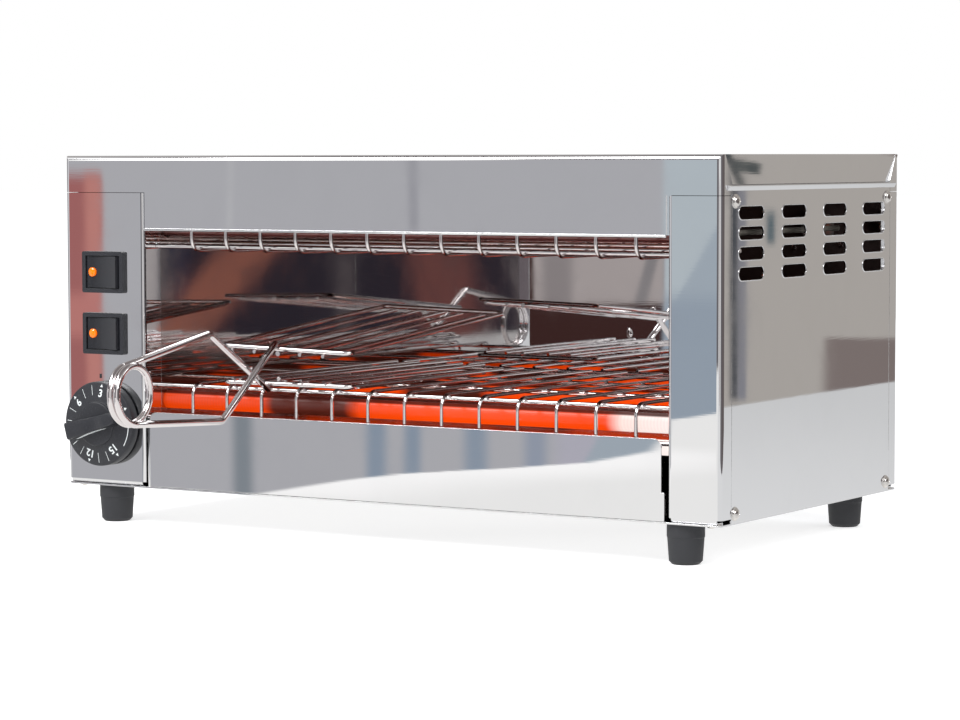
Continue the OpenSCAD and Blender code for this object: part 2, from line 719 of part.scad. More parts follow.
timer_w = 40;
timer_depth = 30;
timer_body_d0 = sheet_t;
timer_right = panel_x + 14;             // clear of the lower front tube's holder
timer_top = tube_low_z - lead_r - 2;    // clear of the lead that runs above it
module timer_body() color("lightgray") at_body() difference() {
    union() {
        backward(timer_body_d0, timer_body_d0 + timer_depth)
            round_rect_2d(timer_right - timer_w, timer_top - timer_w, timer_right, timer_top, 4);
        backward(timer_body_d0 + timer_depth - fine, timer_body_d0 + timer_depth + 5)
            round_rect_2d(timer_right - timer_w + 8, timer_top - timer_w + 8, timer_right - 8, timer_top - 12, 2);
    }
    rod_d(0, timer_body_d0 + timer_depth - 3, panel_x, timer_z, timer_shaft_r + 0.05);
    for (s = [-1, 1]) rod_d(0, 9, panel_x + s * timer_screw_x, timer_z, screw_hole_r);
}

knob_out = 9;           // front of the knob's disc at its boss
disc_rim = 7.6;         // front of its rim: the printed ring is a shallow cone
disc_gap = 0.8;
module timer_screws() color(chrome) at_body() for (s = [-1, 1])
    translate([panel_x + s * timer_screw_x, 0, timer_z]) rotate([90, 0, 0]) screw(3, 1.4, screw_r, 7);

shaft_tip_d = -knob_out - 3;
module timer_shaft() color(chrome) at_body() difference() {
    rod_d(shaft_tip_d, timer_body_d0 + timer_depth - 4, panel_x, timer_z, timer_shaft_r);
    translate([panel_x - 4, shaft_tip_d - 1, timer_z + timer_shaft_r - 1]) cube([8, 12, 4]);
}

grip_l = 38;
grip_w = 10.6;          // at its pointer end
grip_tail_w = 7;
grip_out = 7.6;
boss_r = 13.4;
boss_h = 1.6;
module timer_knob() color(black) at_body() translate([panel_x, 0, timer_z]) {
    difference() {
        union() {
            rotate([90, 0, 0]) rotate_extrude() polygon([[0, disc_gap], [dial_dia / 2 - 0.6, disc_gap],
                [dial_dia / 2, disc_gap + 0.6], [dial_dia / 2, disc_rim - 0.6],
                [dial_dia / 2 - 0.6, disc_rim], [boss_r + 0.4, knob_out], [boss_r, knob_out + boss_h], [0, knob_out + boss_h]]);
            rotate([0, -grip_angle, 0]) grip();
        }
        rod_d(-knob_out - 3, 1, 0, 0, timer_shaft_r + 0.02);
        rotate([90, 0, 0]) rotate_extrude() rect_2d(timer_shaft_r + 4, 0, dial_dia / 2 - 3, disc_rim - 3);
    }
}
// Grip bar: a bar across the dial, narrower towards its rounded tail
module grip() backward(-knob_out - grip_out, -knob_out + 0.5) union() {
    tail_r = grip_tail_w / 2;
    hull_x = grip_l / 2 - tail_r;
    polygon([[-grip_l / 2, -grip_w / 2 + 0.6], [-grip_l / 2, grip_w / 2 - 0.6], [-grip_l / 2 + 0.6, grip_w / 2],
        [hull_x, tail_r], [hull_x, -tail_r], [-grip_l / 2 + 0.6, -grip_w / 2]]);
    translate([hull_x, 0]) circle(tail_r);
}

// ---------- wiring ----------

block_d = 118;
block_z = 24;
block_w = 17;
block_l = 40;
block_h = 14;
block_poles = 4;
block_x = -half_w + 19;
bracket_x = block_x - 3;
bracket_foot_w = 34;
bracket_web_x = bracket_x + 14;
bracket_l = block_l + 4;
module terminal_bracket() color(steel) at_body() {
    foot_l = bracket_l + 4;
    upward(floor_z, floor_z + sheet_t)
        rect_2d(bracket_x, block_d - foot_l / 2, bracket_x + bracket_foot_w, block_d + foot_l / 2);
    upward(floor_z, block_z)
        rect_2d(bracket_web_x, block_d - bracket_l / 2, bracket_web_x + sheet_t, block_d + bracket_l / 2);
    upward(block_z - sheet_t, block_z)
        rect_2d(bracket_x + 4, block_d - bracket_l / 2, bracket_web_x + sheet_t, block_d + bracket_l / 2);
}
module terminal_block() color("ivory") at_body() translate([block_x, block_d - block_l / 2, block_z]) {
    pole_pitch = block_l / block_poles;
    difference() {
        cube([block_w, block_l, block_h]);
        for (i = [0 : block_poles - 1]) translate([0, (i + 0.5) * pole_pitch, 0]) {
            translate([block_w / 2, 0, 6]) cylinder(h = block_h, r = 2.6);
            translate([-1, 0, 4.5]) rotate([0, 90, 0]) cylinder(h = block_w + 2, r = 1.8);
        }
    }
}

// Heat-proof leads that join the front and rear tubes' pins in each side compartment
module heater_leads() color("lightgray") at_body() for (z = [tube_low_z, tube_high_z])
    for (x = [open_left - pin_out - lead_r, open_right + pin_out + lead_r])
        rod_d(tube_front_d - 3, tube_rear_d + 3, x, z, lead_r);

// ---------- tongs ----------

paddle_inset = 60;      // from the left chamber wall to the paddles
paddle_x = open_left + paddle_inset + paddle_w / 2;
arm_r = arm_dia / 2;
frame_r = frame_dia / 2;
spine_r = 1.5;
frame_bend = 5;
weld = 0.25;            // depth by which welded wires sink into each other
low_paddle_z = grid_low_z + wire_dia / 2 + seat_gap + frame_r;
low_front_d = -1;
high_front_d = -2;
high_front_z = 87.2;
paddle_roll = 1.5;      // sideways lean of the upper paddle in the rest pose
rod_count = 5;          // lengthwise rods of a paddle, with a thicker spine as the middle one
rod_step = 16.3;
rod_shift = -4.5;       // the spine stands this far left of the paddle's middle
rod_over = 2;           // how far the rods reach past the frame
spine_over = 8;

// Flat wire paddle seen from above, frame centre line in the plane z = 0, thin rods on the
// side of the food; s is 1 when the food lies above
module paddle_shape(d0, d1, s) {
    x0 = -paddle_w / 2;
    x1 = paddle_w / 2;
    for (x = [x0, x1]) rod_d(d0 + frame_bend, d1 - frame_bend, x, 0, frame_r);
    for (d = [d0, d1]) rod_x(x0 + frame_bend, x1 - frame_bend, d, 0, frame_r);
    for (c = [[1, d1, 0, -1], [-1, d1, 90, -1], [-1, d0, 180, 1], [1, d0, 270, 1]])
        translate([c[0] * (x1 - frame_bend), c[1] + c[3] * frame_bend, 0])
            rotate([0, 0, c[2]]) rotate_extrude(angle = 90) translate([frame_bend, 0]) circle(frame_r);
    for (i = [0 : rod_count - 1]) let (k = i - (rod_count - 1) / 2) if (k != 0)
        rod_d(d0 - rod_over, d1 + rod_over, rod_shift + k * rod_step, s * (frame_r + inner_dia / 2 - weld), inner_dia / 2);
    rod_d(d0 - 1, d1 + spine_over, rod_shift, s * (frame_r + spine_r - weld), spine_r);
}

module tongs_lower_paddle() color(chrome) at_body() translate([paddle_x, 0, low_paddle_z])
    paddle_shape(low_front_d, paddle_end_d, 1);

module tongs_upper_paddle() color(chrome) at_body()
    translate([paddle_x, high_front_d, high_front_z]) rotate([paddle_tilt, paddle_roll, 0])
        paddle_shape(0, paddle_end_d - high_front_d, -1);

// Round wire swept along points
wire_sides = 12;
function unit(v) = v / norm(v);
function point_dir(p, i) = unit((i == len(p) - 1 ? p[i] : p[i + 1]) - (i == 0 ? p[i] : p[i - 1]));
module swept_wire(points, r) {
    n = len(points);
    rings = [for (i = [0 : n - 1])
        let (t = point_dir(points, i), u = unit(cross(t, [1, 0, 0])), v = cross(t, u))
        for (k = [0 : wire_sides - 1]) let (a = 360 * k / wire_sides)
            points[i] + r * (cos(a) * u + sin(a) * v)];
    first_cap = [for (k = [0 : wire_sides - 1]) k];
    last_cap = [for (k = [wire_sides - 1 : -1 : 0]) (n - 1) * wire_sides + k];
    walls = [for (i = [0 : n - 2]) for (k = [0 : wire_sides - 1])
        let (a = i * wire_sides + k, b = i * wire_sides + (k + 1) % wire_sides)
        each [[a, a + wire_sides, b + wire_sides], [a, b + wire_sides, b]]];
    polyhedron(points = rings, faces = concat([first_cap, last_cap], walls));
}

// Points of a round bend of radius r at the corner b of the path a, b, c
function bend_points(a, b, c, r, steps) =
    let (u = unit(a - b), w = unit(c - b), half = acos(u * w) / 2, turn = 180 - 2 * half,
        centre = b + unit(u + w) * r / sin(half),
        p = b + u * r / tan(half) - centre, q = b + w * r / tan(half) - centre)
    [for (i = [0 : steps]) let (k = i / steps)
        centre + (p * sin((1 - k) * turn) + q * sin(k * turn)) / sin(turn)];

// The two arms stand side by side, so they pass each other where they cross
arm_bend_r = 6;
arm_bend_steps = 6;
arm_over = 1.5;         // how far an arm's end passes the wire that it is welded to
down_arm_x = paddle_x - 6;
up_arm_x = down_arm_x - 6.5;
up_bend_reach = 57.6;
up_bend_z = 98.65;
down_bend_reach = 55.7;
down_bend_gap = 0.55;   // the tray slides out below the lower arm
up_bend = [up_arm_x, -up_bend_reach, up_bend_z];
down_bend = [down_arm_x, -down_bend_reach, tray_h + down_bend_gap + arm_r];
coil_centre_d = -coil_reach;
touch = arm_r + frame_r - 0.15;

// Angle round the coil, from level towards the case, at which a straight arm to p leaves it
function leave_angle(p, side) =
    let (v = [p[1] - coil_centre_d, p[2] - coil_z]) atan2(v[1], v[0]) + side * acos(coil_r / norm(v));
function coil_point(a, x) = [x, coil_centre_d + coil_r * cos(a), coil_z + coil_r * sin(a)];

// Where an arm from bend b passes the front wire at p, on the front of it: side is -1 to
// pass below it and 1 to pass above
function arm_end(b, p, side) =
    let (q = [b[0], p[0], p[1]], dir = unit(q - b), normal = [0, -dir[2], dir[1]] * side)
    q + normal * touch + dir * arm_over;

up_leave = leave_angle(up_bend, 1);
down_leave = leave_angle(down_bend, -1);

// From the coil's top to the lower paddle, past the front of its front wire
module tongs_upper_arm() color(chrome) at_body() {
    start = coil_point(up_leave, up_arm_x);
    tip = arm_end(up_bend, [low_front_d, low_paddle_z], -1);
    swept_wire(concat([start], bend_points(start, up_bend, tip, arm_bend_r, arm_bend_steps), [tip]), arm_r);
}

// From the coil's bottom to the upper paddle, past the front of its front wire
module tongs_lower_arm() color(chrome) at_body() {
    start = coil_point(down_leave, down_arm_x);
    tip = arm_end(down_bend, [high_front_d, high_front_z], 1);
    swept_wire(concat([start], bend_points(start, down_bend, tip, arm_bend_r, arm_bend_steps), [tip]), arm_r);
}

// One and a half turns of the arms' wire, from the upper arm round the front to the lower.
// A short step at each end sets its end face square to the arm.
spring_steps = 40;
spring_sweep = 720 - up_leave + down_leave;
spring_seam = 0.15;     // angle left open at each arm's end
end_step = 0.5;
module tongs_spring() color(chrome) at_body()
    swept_wire([for (i = [-1 : spring_steps + 1])
        let (k = min(max(i / spring_steps, 0), 1),
            inset = i < 0 || i > spring_steps ? spring_seam : spring_seam + end_step)
        coil_point(up_leave + inset + (spring_sweep - 2 * inset) * k,
            up_arm_x + (down_arm_x - up_arm_x) * k)], arm_r);

// Small upright eye on the lower paddle's front wire, beside the crossing of the arms
catch_r = 1;
eye_r = 2.2;
catch_x = paddle_x - 23.4;
module tongs_catch() color(chrome) at_body() translate([catch_x, low_front_d, low_paddle_z + frame_r]) {
    eye_z = 5.5;
    cylinder(h = eye_z - eye_r, r = catch_r);
    translate([0, 0, eye_z]) rotate([0, 90, 0]) rotate_extrude() translate([eye_r, 0]) circle(catch_r);
}

base_pan();
base_screws();
foot_front_left();
foot_front_right();
foot_rear_left();
foot_rear_right();
foot_screws();
top_hood();
control_panel();
right_post();
left_side_panel();
right_side_panel();
side_screws();
back_panel();
cable_gland();
gland_nut();
chamber_wall_left();
chamber_wall_right();
upper_reflector();
lower_reflector();
tube_lower_front();
tube_lower_rear();
tube_upper_front();
tube_upper_rear();
heating_coils();
tube_holders();
upper_grid();
lower_grid();
upper_guard();
lower_guard();
tray_front();
tray_pan();
upper_switch_body();
lower_switch_body();
upper_rocker();
lower_rocker();
upper_lens();
lower_lens();
switch_tabs();
timer_body();
timer_screws();
timer_shaft();
timer_knob();
terminal_block();
terminal_bracket();
heater_leads();
tongs_lower_paddle();
tongs_upper_paddle();
tongs_upper_arm();
tongs_lower_arm();
tongs_spring();
tongs_catch();
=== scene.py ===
"""Looks for the cheese melter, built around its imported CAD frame."""

import json
import math

import bpy
from mathutils import Matrix, Vector


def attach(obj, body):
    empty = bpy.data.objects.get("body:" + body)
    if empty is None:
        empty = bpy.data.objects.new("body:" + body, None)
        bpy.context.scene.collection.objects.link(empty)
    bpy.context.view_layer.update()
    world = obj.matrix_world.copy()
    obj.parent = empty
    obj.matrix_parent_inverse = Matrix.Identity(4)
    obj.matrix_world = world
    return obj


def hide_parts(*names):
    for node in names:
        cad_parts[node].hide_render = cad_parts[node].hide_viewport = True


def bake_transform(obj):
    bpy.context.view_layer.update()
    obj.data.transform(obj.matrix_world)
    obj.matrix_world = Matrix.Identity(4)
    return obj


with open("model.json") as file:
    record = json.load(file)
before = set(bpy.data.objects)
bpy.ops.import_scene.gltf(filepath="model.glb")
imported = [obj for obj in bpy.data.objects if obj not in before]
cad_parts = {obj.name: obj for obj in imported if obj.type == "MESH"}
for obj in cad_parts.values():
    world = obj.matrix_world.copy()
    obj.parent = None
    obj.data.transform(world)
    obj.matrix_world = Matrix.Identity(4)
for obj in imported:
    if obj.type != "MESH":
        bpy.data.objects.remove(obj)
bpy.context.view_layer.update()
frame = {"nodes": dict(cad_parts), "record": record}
NODES = frame["nodes"]
scene = bpy.context.scene

MM = 0.001
# The case's front plane and underside in the row frame, in metres
FRONT_Y = -0.041
BASE_Z = 0.0225
# The case's half width, in mm
HALF_W = 225.0


def at(x, d, z):
    """Row-frame point from mm across, behind the front plane and above the case's underside."""
    return Vector((x * MM, FRONT_Y + d * MM, BASE_Z + z * MM))


# ---------- camera ----------

# Its place in mm, its angles in degrees, and its focal length in pixels of the frame's width
CAM_AT = (986.2, -1460.5, 198.8)
CAM_TURN, CAM_PITCH, CAM_ROLL = 32.02, 3.77, -0.13
FOCAL_PX, FRAME_PX, SENSOR = 3081.0, 960.0, 36.0
CLIP_NEAR, CLIP_FAR = 0.01, 100


def make_camera():
    a, e, r = (math.radians(angle) for angle in (CAM_TURN, CAM_PITCH, CAM_ROLL))
    forward = Vector((-math.sin(a) * math.cos(e), math.cos(a) * math.cos(e), -math.sin(e)))
    side = Vector((math.cos(a), math.sin(a), 0))
    up = side.cross(forward)
    right = side * math.cos(r) + up * math.sin(r)
    top = up * math.cos(r) - side * math.sin(r)
    data = bpy.data.cameras.new("camera")
    data.sensor_fit = "HORIZONTAL"
    data.sensor_width = SENSOR
    data.lens = FOCAL_PX * SENSOR / FRAME_PX
    data.clip_start, data.clip_end = CLIP_NEAR, CLIP_FAR
    camera = bpy.data.objects.new("camera", data)
    turn = Matrix((right, top, -forward)).transposed().to_4x4()
    camera.matrix_world = Matrix.Translation(at(*CAM_AT)) @ turn
    scene.collection.objects.link(camera)
    scene.camera = camera


make_camera()

# ---------- node helpers ----------


class Mat:
    """A node tree with short calls for its nodes and links."""

    def __init__(self, tree):
        self.tree = tree
        self.nodes = tree.nodes
        self.nodes.clear()

    def add(self, kind, props=None, **inputs):
        node = self.nodes.new(kind)
        for key, value in (props or {}).items():
            setattr(node, key, value)
        for key, value in inputs.items():
            self.put(node, key, value)
        return node

    def put(self, node, key, value):
        """Set or link an input, named as in Blender with _ for a space, or i and its number."""
        if key.startswith("i") and key[1:].isdigit():
            socket = node.inputs[int(key[1:])]
        else:
            socket = node.inputs[key.replace("_", " ")]
        if isinstance(value, bpy.types.NodeSocket):
            self.tree.links.new(value, socket)
        elif isinstance(value, bpy.types.Node):
            self.tree.links.new(value.outputs[0], socket)
        elif hasattr(socket.default_value, "__len__"):
            value = tuple(value)
            if len(socket.default_value) == 4 and len(value) == 3:
                value += (1,)
            socket.default_value = value
        else:
            socket.default_value = value

    def math(self, op, a, b=None, c=None):
        inputs = {"i0": a}
        if b is not None:
            inputs["i1"] = b
        if c is not None:
            inputs["i2"] = c
        return self.add("ShaderNodeMath", {"operation": op}, **inputs)

    def mix(self, fac, a, b):
        node = self.add("ShaderNodeMix", {"data_type": "RGBA"})
        self.put(node, "i0", fac)
        self.put(node, "i6", a)
        self.put(node, "i7", b)
        return node.outputs[2]

    def mix_shader(self, fac, a, b):
        node = self.add("ShaderNodeMixShader", None, Fac=fac)
        self.tree.links.new(a, node.inputs[1])
        self.tree.links.new(b, node.inputs[2])
        return node.outputs[0]

    def ramp(self, fac, stops):
        node = self.add("ShaderNodeValToRGB")
        elements = node.color_ramp.elements
        while len(elements) < len(stops):
            elements.new(0.5)
        for element, (place, colour) in zip(elements, stops):
            element.position = place
            colour = (colour,) * 3 if isinstance(colour, (int, float)) else colour
            element.color = (*colour, 1)
        self.put(node, "i0", fac)
        return node.outputs[0]

    def step(self, value, start, end):
        """0 below start and 1 above end, or the other way round where end is the lower one."""
        return self.add("ShaderNodeMapRange", {"interpolation_type": "SMOOTHSTEP"}, Value=value,
                        From_Min=start, From_Max=end).outputs[0]

    def between(self, value, low, high, soft):
        return self.math("MULTIPLY", self.step(value, low - soft, low + soft),
                         self.step(value, high + soft, high - soft)).outputs[0]

    def coords(self, kind="Object"):
        """Coordinates; an object's are the row frame's for every piece here."""
        return self.add("ShaderNodeTexCoord").outputs[kind]

    def split(self, vector):
        """The x, y and z of a vector."""
        return self.add("ShaderNodeSeparateXYZ", None, Vector=vector).outputs

    def place(self, scale=(1, 1, 1)):
        coords = self.coords()
        return self.add("ShaderNodeMapping", None, Vector=coords, Scale=scale).outputs[0]

    def geometry(self):
        return self.add("ShaderNodeNewGeometry").outputs

    def noise(self, where, scale, detail=2, rough=0.5, distortion=0.0):
        return self.add("ShaderNodeTexNoise", None, Vector=where, Scale=scale, Detail=detail,
                        Roughness=rough, Distortion=distortion).outputs[0]

    def bands(self, where, scale, direction="X", distortion=0.0, detail=2.0):
        return self.add("ShaderNodeTexWave", {"bands_direction": direction}, Vector=where, Scale=scale,
                        Distortion=distortion, Detail=detail).outputs[1]

    def rounded_edge(self, radius):
        return self.add("ShaderNodeBevel", {"samples": 4}, Radius=radius).outputs[0]

    def bump(self, height, strength, distance, normal=None):
        inputs = {"Height": height, "Strength": strength, "Distance": distance}
        if normal is not None:
            inputs["Normal"] = normal
        return self.add("ShaderNodeBump", None, **inputs).outputs[0]

    def finish(self, **inputs):
        """The material's own surface, from the inputs of a principled shader."""
        self.surface(self.add("ShaderNodeBsdfPrincipled", None, **inputs))

    def surface(self, shader):
        self.add("ShaderNodeOutputMaterial", None, Surface=shader)


def new_mat(name):
    material = bpy.data.materials.new(name)
    material.use_nodes = True
    return material, Mat(material.node_tree)


def shaded(colour, share):
    return tuple(c * share for c in colour)


# ---------- materials ----------

# Radius to which the shading rounds a sheet's or a moulding's edges, in metres
EDGE = 0.0004
# Scales of a sheet's patterns: slow waves, fine rolling lines and smudges
SHEET_WAVES, SHEET_LINES, SHEET_SMUDGES = 7, (60, 60, 1200), 26
# Share of +X in a normal from which a face counts as turned to +X, where a painted shade goes
OUTER_FACE = (0.4, 0.6)
# Agreement of a point's smooth and flat normals from which the smooth one is shown
FACET_AGREE = (0.990, 0.996)


def steel(name, colour, rough, wave, smudge, edge=EDGE, shade=None, crisp=False):
    """Rolled stainless sheet: slow waves in its gloss, fine rolling lines and faint smudges.

    An edge above 0 rounds the sheet's edges; shade is a painted shade, the colour given to faces
    turned to +X; crisp keeps thin facets at cut corners flat."""
    material, m = new_mat(name)
    where = m.place()
    big = m.noise(where, SHEET_WAVES, 1)
    lines = m.noise(m.place(SHEET_LINES), 1, 2)
    cloud = m.noise(where, SHEET_SMUDGES, 4, 0.62, 0.4)
    marks = m.ramp(cloud, [(0.45, 0.0), (0.72, 1.0)])
    tint = m.mix(m.math("MULTIPLY", marks, smudge), colour, shaded(colour, 0.86))
    rolled = m.math("MULTIPLY_ADD", lines, rough * 0.5, rough * 0.75)
    gloss = m.math("MULTIPLY_ADD", marks, smudge * 0.12, rolled)
    if shade:
        # painted shade: faces turned to +X are darkened to the shade colour, as if in shadow
        outer = m.step(m.split(m.geometry()["Normal"])[0], *OUTER_FACE)
        tint = m.mix(outer, tint, m.mix(cloud, shaded(shade, 0.6), shade))
        gloss = m.math("MULTIPLY_ADD", outer, 0.5, gloss)
    normal = m.rounded_edge(edge) if edge else None
    if crisp:
        facet = m.geometry()
        smooth, flat = facet["Normal"], facet["True Normal"]
        agree = m.add("ShaderNodeVectorMath", {"operation": "DOT_PRODUCT"}, i0=smooth, i1=flat)
        shown = m.step(agree.outputs["Value"], *FACET_AGREE)
        normal = m.add("ShaderNodeMix", {"data_type": "VECTOR"}, i0=shown, i4=flat, i5=smooth).outputs[1]
    normal = m.bump(big, wave, 0.004, normal)
    normal = m.bump(lines, 0.015, 0.00005, normal)
    m.finish(Base_Color=tint, Metallic=1.0, Roughness=gloss, Normal=normal)
    return material


# Painted reflection of the lit tube's bare end, drawn as a glow on the lower reflector's front lip:
# where it starts across, how deep behind the front plane it ends, and its heights above the
# underside, in metres
PAINTED_LIP_REFLECTION_X = (0.176, 0.180)
PAINTED_LIP_REFLECTION_D = (0.0135, 0.0125)
PAINTED_LIP_REFLECTION_Z, PAINTED_LIP_REFLECTION_SOFT = (0.036, 0.0452), 0.0004
PAINTED_LIP_REFLECTION_COLOUR = (1.0, 0.90, 0.86)


def burnt_steel(name, cold, hot):
    """Reflector sheet that heat has tinted brown in uneven bands along the tubes.

    Its front lip glows with a painted reflection of the lit tube's bare end."""
    material, m = new_mat(name)
    x, y, z = m.split(m.coords())
    # painted reflection: a glowing patch on the front lip stands in for the lit tube's end mirrored there
    painted_reflection = m.math("MULTIPLY", m.step(x, *PAINTED_LIP_REFLECTION_X), m.step(y, *(FRONT_Y + d for d in PAINTED_LIP_REFLECTION_D)))
    painted_reflection = m.math("MULTIPLY", painted_reflection, m.between(z, *(BASE_Z + h for h in PAINTED_LIP_REFLECTION_Z), PAINTED_LIP_REFLECTION_SOFT))
    bands = m.noise(m.place((3, 60, 60)), 1, 3, 0.6)
    stain = m.noise(m.place(), 40, 4, 0.65, 0.6)
    tint = m.mix(m.ramp(bands, [(0.35, 0.0), (0.7, 1.0)]), cold, hot)
    tint = m.mix(m.ramp(stain, [(0.5, 0.0), (0.75, 0.7)]), tint, shaded(hot, 0.5))
    m.finish(Base_Color=tint, Metallic=1.0, Emission_Color=PAINTED_LIP_REFLECTION_COLOUR, Emission_Strength=painted_reflection,
             Roughness=m.math("MULTIPLY_ADD", stain, 0.16, 0.06), Normal=m.bump(bands, 0.12, 0.002))
    return material


def chrome(name, colour, rough):
    """Bright metal with slight unevenness along it."""
    material, m = new_mat(name)
    where = m.place()
    fine = m.noise(where, 420, 2)
    slow = m.noise(where, 60, 2)
    tint = m.mix(m.ramp(slow, [(0.35, 0.0), (0.8, 0.5)]), colour, shaded(colour, 0.82))
    normal = m.bump(fine, 0.06, 0.0004)
    m.finish(Base_Color=tint, Metallic=1.0, Roughness=m.math("MULTIPLY_ADD", fine, 0.05, rough),
             Normal=normal)
    return material


def plastic(name, colour, rough, grain, coat=0.0, speck=0.0):
    """Moulded plastic: a spark-eroded grain, cloudy gloss and worn, lighter grain tips."""
    material, m = new_mat(name)
    where = m.place()
    fine = m.noise(where, 2600, 2)
    cloud = m.noise(where, 45, 3)
    tint = m.mix(m.math("MULTIPLY", cloud, 0.35), colour, tuple(min(1, c * 1.35 + 0.004) for c in colour))
    if speck:
        tips = m.ramp(m.noise(where, 1500, 1), [(0.6, 0.0), (0.72, 1.0)])
        tint = m.mix(m.math("MULTIPLY", tips, speck), tint, tuple(min(1, c * 3 + 0.02) for c in colour))
    normal = m.rounded_edge(EDGE)
    normal = m.bump(fine, grain, 0.0003, normal)
    m.finish(Base_Color=tint, Coat_Weight=coat, Roughness=m.math("MULTIPLY_ADD", cloud, 0.12, rough),
             Normal=normal)
    return material


# Heated tube along its length: place in mm across, and colour of its glow; the pale stretch near
# its right end is a painted reflection of the room in the bare glass
GLOW_AND_PAINTED_REFLECTION = [(-171, (0.08, 0.01, 0.0)), (-163, (0.75, 0.05, 0.0)), (-93, (0.86, 0.055, 0.0)),
        (-84, (0.05, 0.008, 0.004)), (-33, (0.05, 0.008, 0.004)), (-22, (0.9, 0.058, 0.0)),
        (40, (1.0, 0.070, 0.0)), (143, (0.95, 0.060, 0.0)), (153, (0.98, 0.80, 0.74)),
        (192, (0.98, 0.90, 0.88)), (198, (0.3, 0.12, 0.1))]
# The glass above the coil stays dark: upward share of its normal there and where the glow is full
GLASS_TOP = (0.80, 0.62)
GLASS_TOP_GLOW = 0.07


def quartz_hot():
    """Lit tube: orange-red where its coil is wound, and a pale glow that paints the room's reflection where
    the glass only mirrors it.
    """
    material, m = new_mat("quartz_hot")
    coords = m.coords()
    x = m.split(coords)[0]
    first, last = GLOW_AND_PAINTED_REFLECTION[0][0], GLOW_AND_PAINTED_REFLECTION[-1][0]
    span = m.add("ShaderNodeMapRange", None, Value=x, From_Min=first * MM, From_Max=last * MM).outputs[0]
    rings = m.bands(coords, 150.0, distortion=0.6, detail=1.0)
    # the pale stretch of this glow is a painted reflection of the room
    glow = m.ramp(span, [((place - first) / (last - first), colour) for place, colour in GLOW_AND_PAINTED_REFLECTION])
    up = m.split(m.geometry()["Normal"])[2]
    body = m.math("MULTIPLY_ADD", m.step(up, *GLASS_TOP), 1 - GLASS_TOP_GLOW, GLASS_TOP_GLOW)
    power = m.math("MULTIPLY", m.math("MULTIPLY_ADD", rings, 0.06, 0.94), body)
    m.finish(Base_Color=(0.09, 0.015, 0.01), Roughness=0.3, Emission_Color=glow, Emission_Strength=power)
    return material


def quartz_cold():
    """Tube that isn't lit: smoky dark red glass over its coil."""
    material, m = new_mat("quartz_cold")
    coords = m.place()
    streaks = m.noise(m.place((8, 300, 300)), 1, 3)
    tint = m.mix(streaks, (0.10, 0.028, 0.026), (0.26, 0.09, 0.08))
    m.finish(Base_Color=tint, Roughness=0.14, Metallic=0.4, Coat_Weight=0.6,
             Normal=m.bump(m.noise(coords, 200, 2), 0.1, 0.0005))
    return material


def glow_coil():
    material, m = new_mat("heater_coil")
    rings = m.bands(m.place(), 400.0)
    m.finish(Base_Color=(0.3, 0.05, 0.02), Roughness=0.5, Emission_Strength=1.6,
             Emission_Color=m.mix(rings, (0.7, 0.08, 0.0), (1.0, 0.2, 0.02)))
    return material


def lens_glass():
    """Orange cap over its lamp: brightest in the middle, with a paler rim."""
    material, m = new_mat("orange_lens")
    fine = m.noise(m.place(), 500, 2)
    rim = m.add("ShaderNodeLayerWeight", None, Blend=0.35).outputs[1]
    glow = m.mix(m.ramp(rim, [(0.35, 0.0), (0.8, 1.0)]), (1.0, 0.14, 0.0), (1.0, 0.34, 0.03))
    m.finish(Base_Color=(1.0, 0.19, 0.0), Roughness=0.1, Coat_Weight=0.5, Emission_Color=glow,
             Emission_Strength=0.5, Normal=m.bump(fine, 0.25, 0.0004))
    return material


def woven():
    material, m = new_mat("lead_sleeve")
    weave = m.bands(m.place(), 500.0, "DIAGONAL")
    # the sleeve's dark colours are a painted shade of the case's inside
    tint = m.mix(weave, (0.20, 0.18, 0.15), (0.34, 0.31, 0.27))
    m.finish(Base_Color=tint, Roughness=0.85, Normal=m.bump(weave, 0.5, 0.0005))
    return material


POLISHED = {"colour": (0.80, 0.80, 0.81), "rough": 0.014, "wave": 0.016, "smudge": 0.12}
SATIN = {"colour": (0.50, 0.475, 0.465), "rough": 0.03, "wave": 0.03, "smudge": 0.3}
MATS = {
    "polished_steel": steel("polished_steel", **POLISHED),
    "inner_steel": steel("inner_steel", **SATIN),
    "zinc_screws": chrome("zinc_screws", (0.80, 0.77, 0.74), 0.14),
    "chrome_wire": chrome("chrome_wire", (0.80, 0.76, 0.76), 0.04),
    "foot_rubber": plastic("foot_rubber", (0.028, 0.029, 0.033), 0.55, 0.12),
    "black_plastic": plastic("black_plastic", (0.020, 0.021, 0.026), 0.36, 0.1, speck=0.35),
    "rocker_plastic": plastic("rocker_plastic", (0.014, 0.015, 0.019), 0.24, 0.06, 0.2, speck=0.12),
    "brass_tabs": chrome("brass_tabs", (0.78, 0.6, 0.28), 0.25),
    "timer_case": chrome("timer_case", (0.5, 0.5, 0.52), 0.3),
    "shaft_steel": chrome("shaft_steel", (0.6, 0.6, 0.6), 0.25),
    # the holders' dark colour is a painted shade of the case's inside
    "ceramic": plastic("ceramic", (0.15, 0.13, 0.12), 0.7, 0.2),
    "quartz": quartz_hot(),
    "heater_coil": glow_coil(),
    "orange_lens": lens_glass(),
    "lead_sleeve": woven(),
}
COLD_TUBE = quartz_cold()
# heat-tinted reflector sheet, with a painted reflection glowing on the lower reflector's lip
BURNT_WITH_PAINTED_REFLECTION = burnt_steel("burnt_steel", (0.46, 0.38, 0.36), (0.34, 0.16, 0.12))
# light print of the dial, also used for the painted highlight on the grip's lower flank
PRINT_AND_PAINTED_HIGHLIGHT = plastic("dial_print_and_painted_highlight", (0.72, 0.76, 0.76), 0.5, 0.02)
FLAT_STEEL = steel("flat_steel", **POLISHED, edge=0)
HOOD_STEEL = steel("hood_steel", **POLISHED, edge=0, crisp=True)
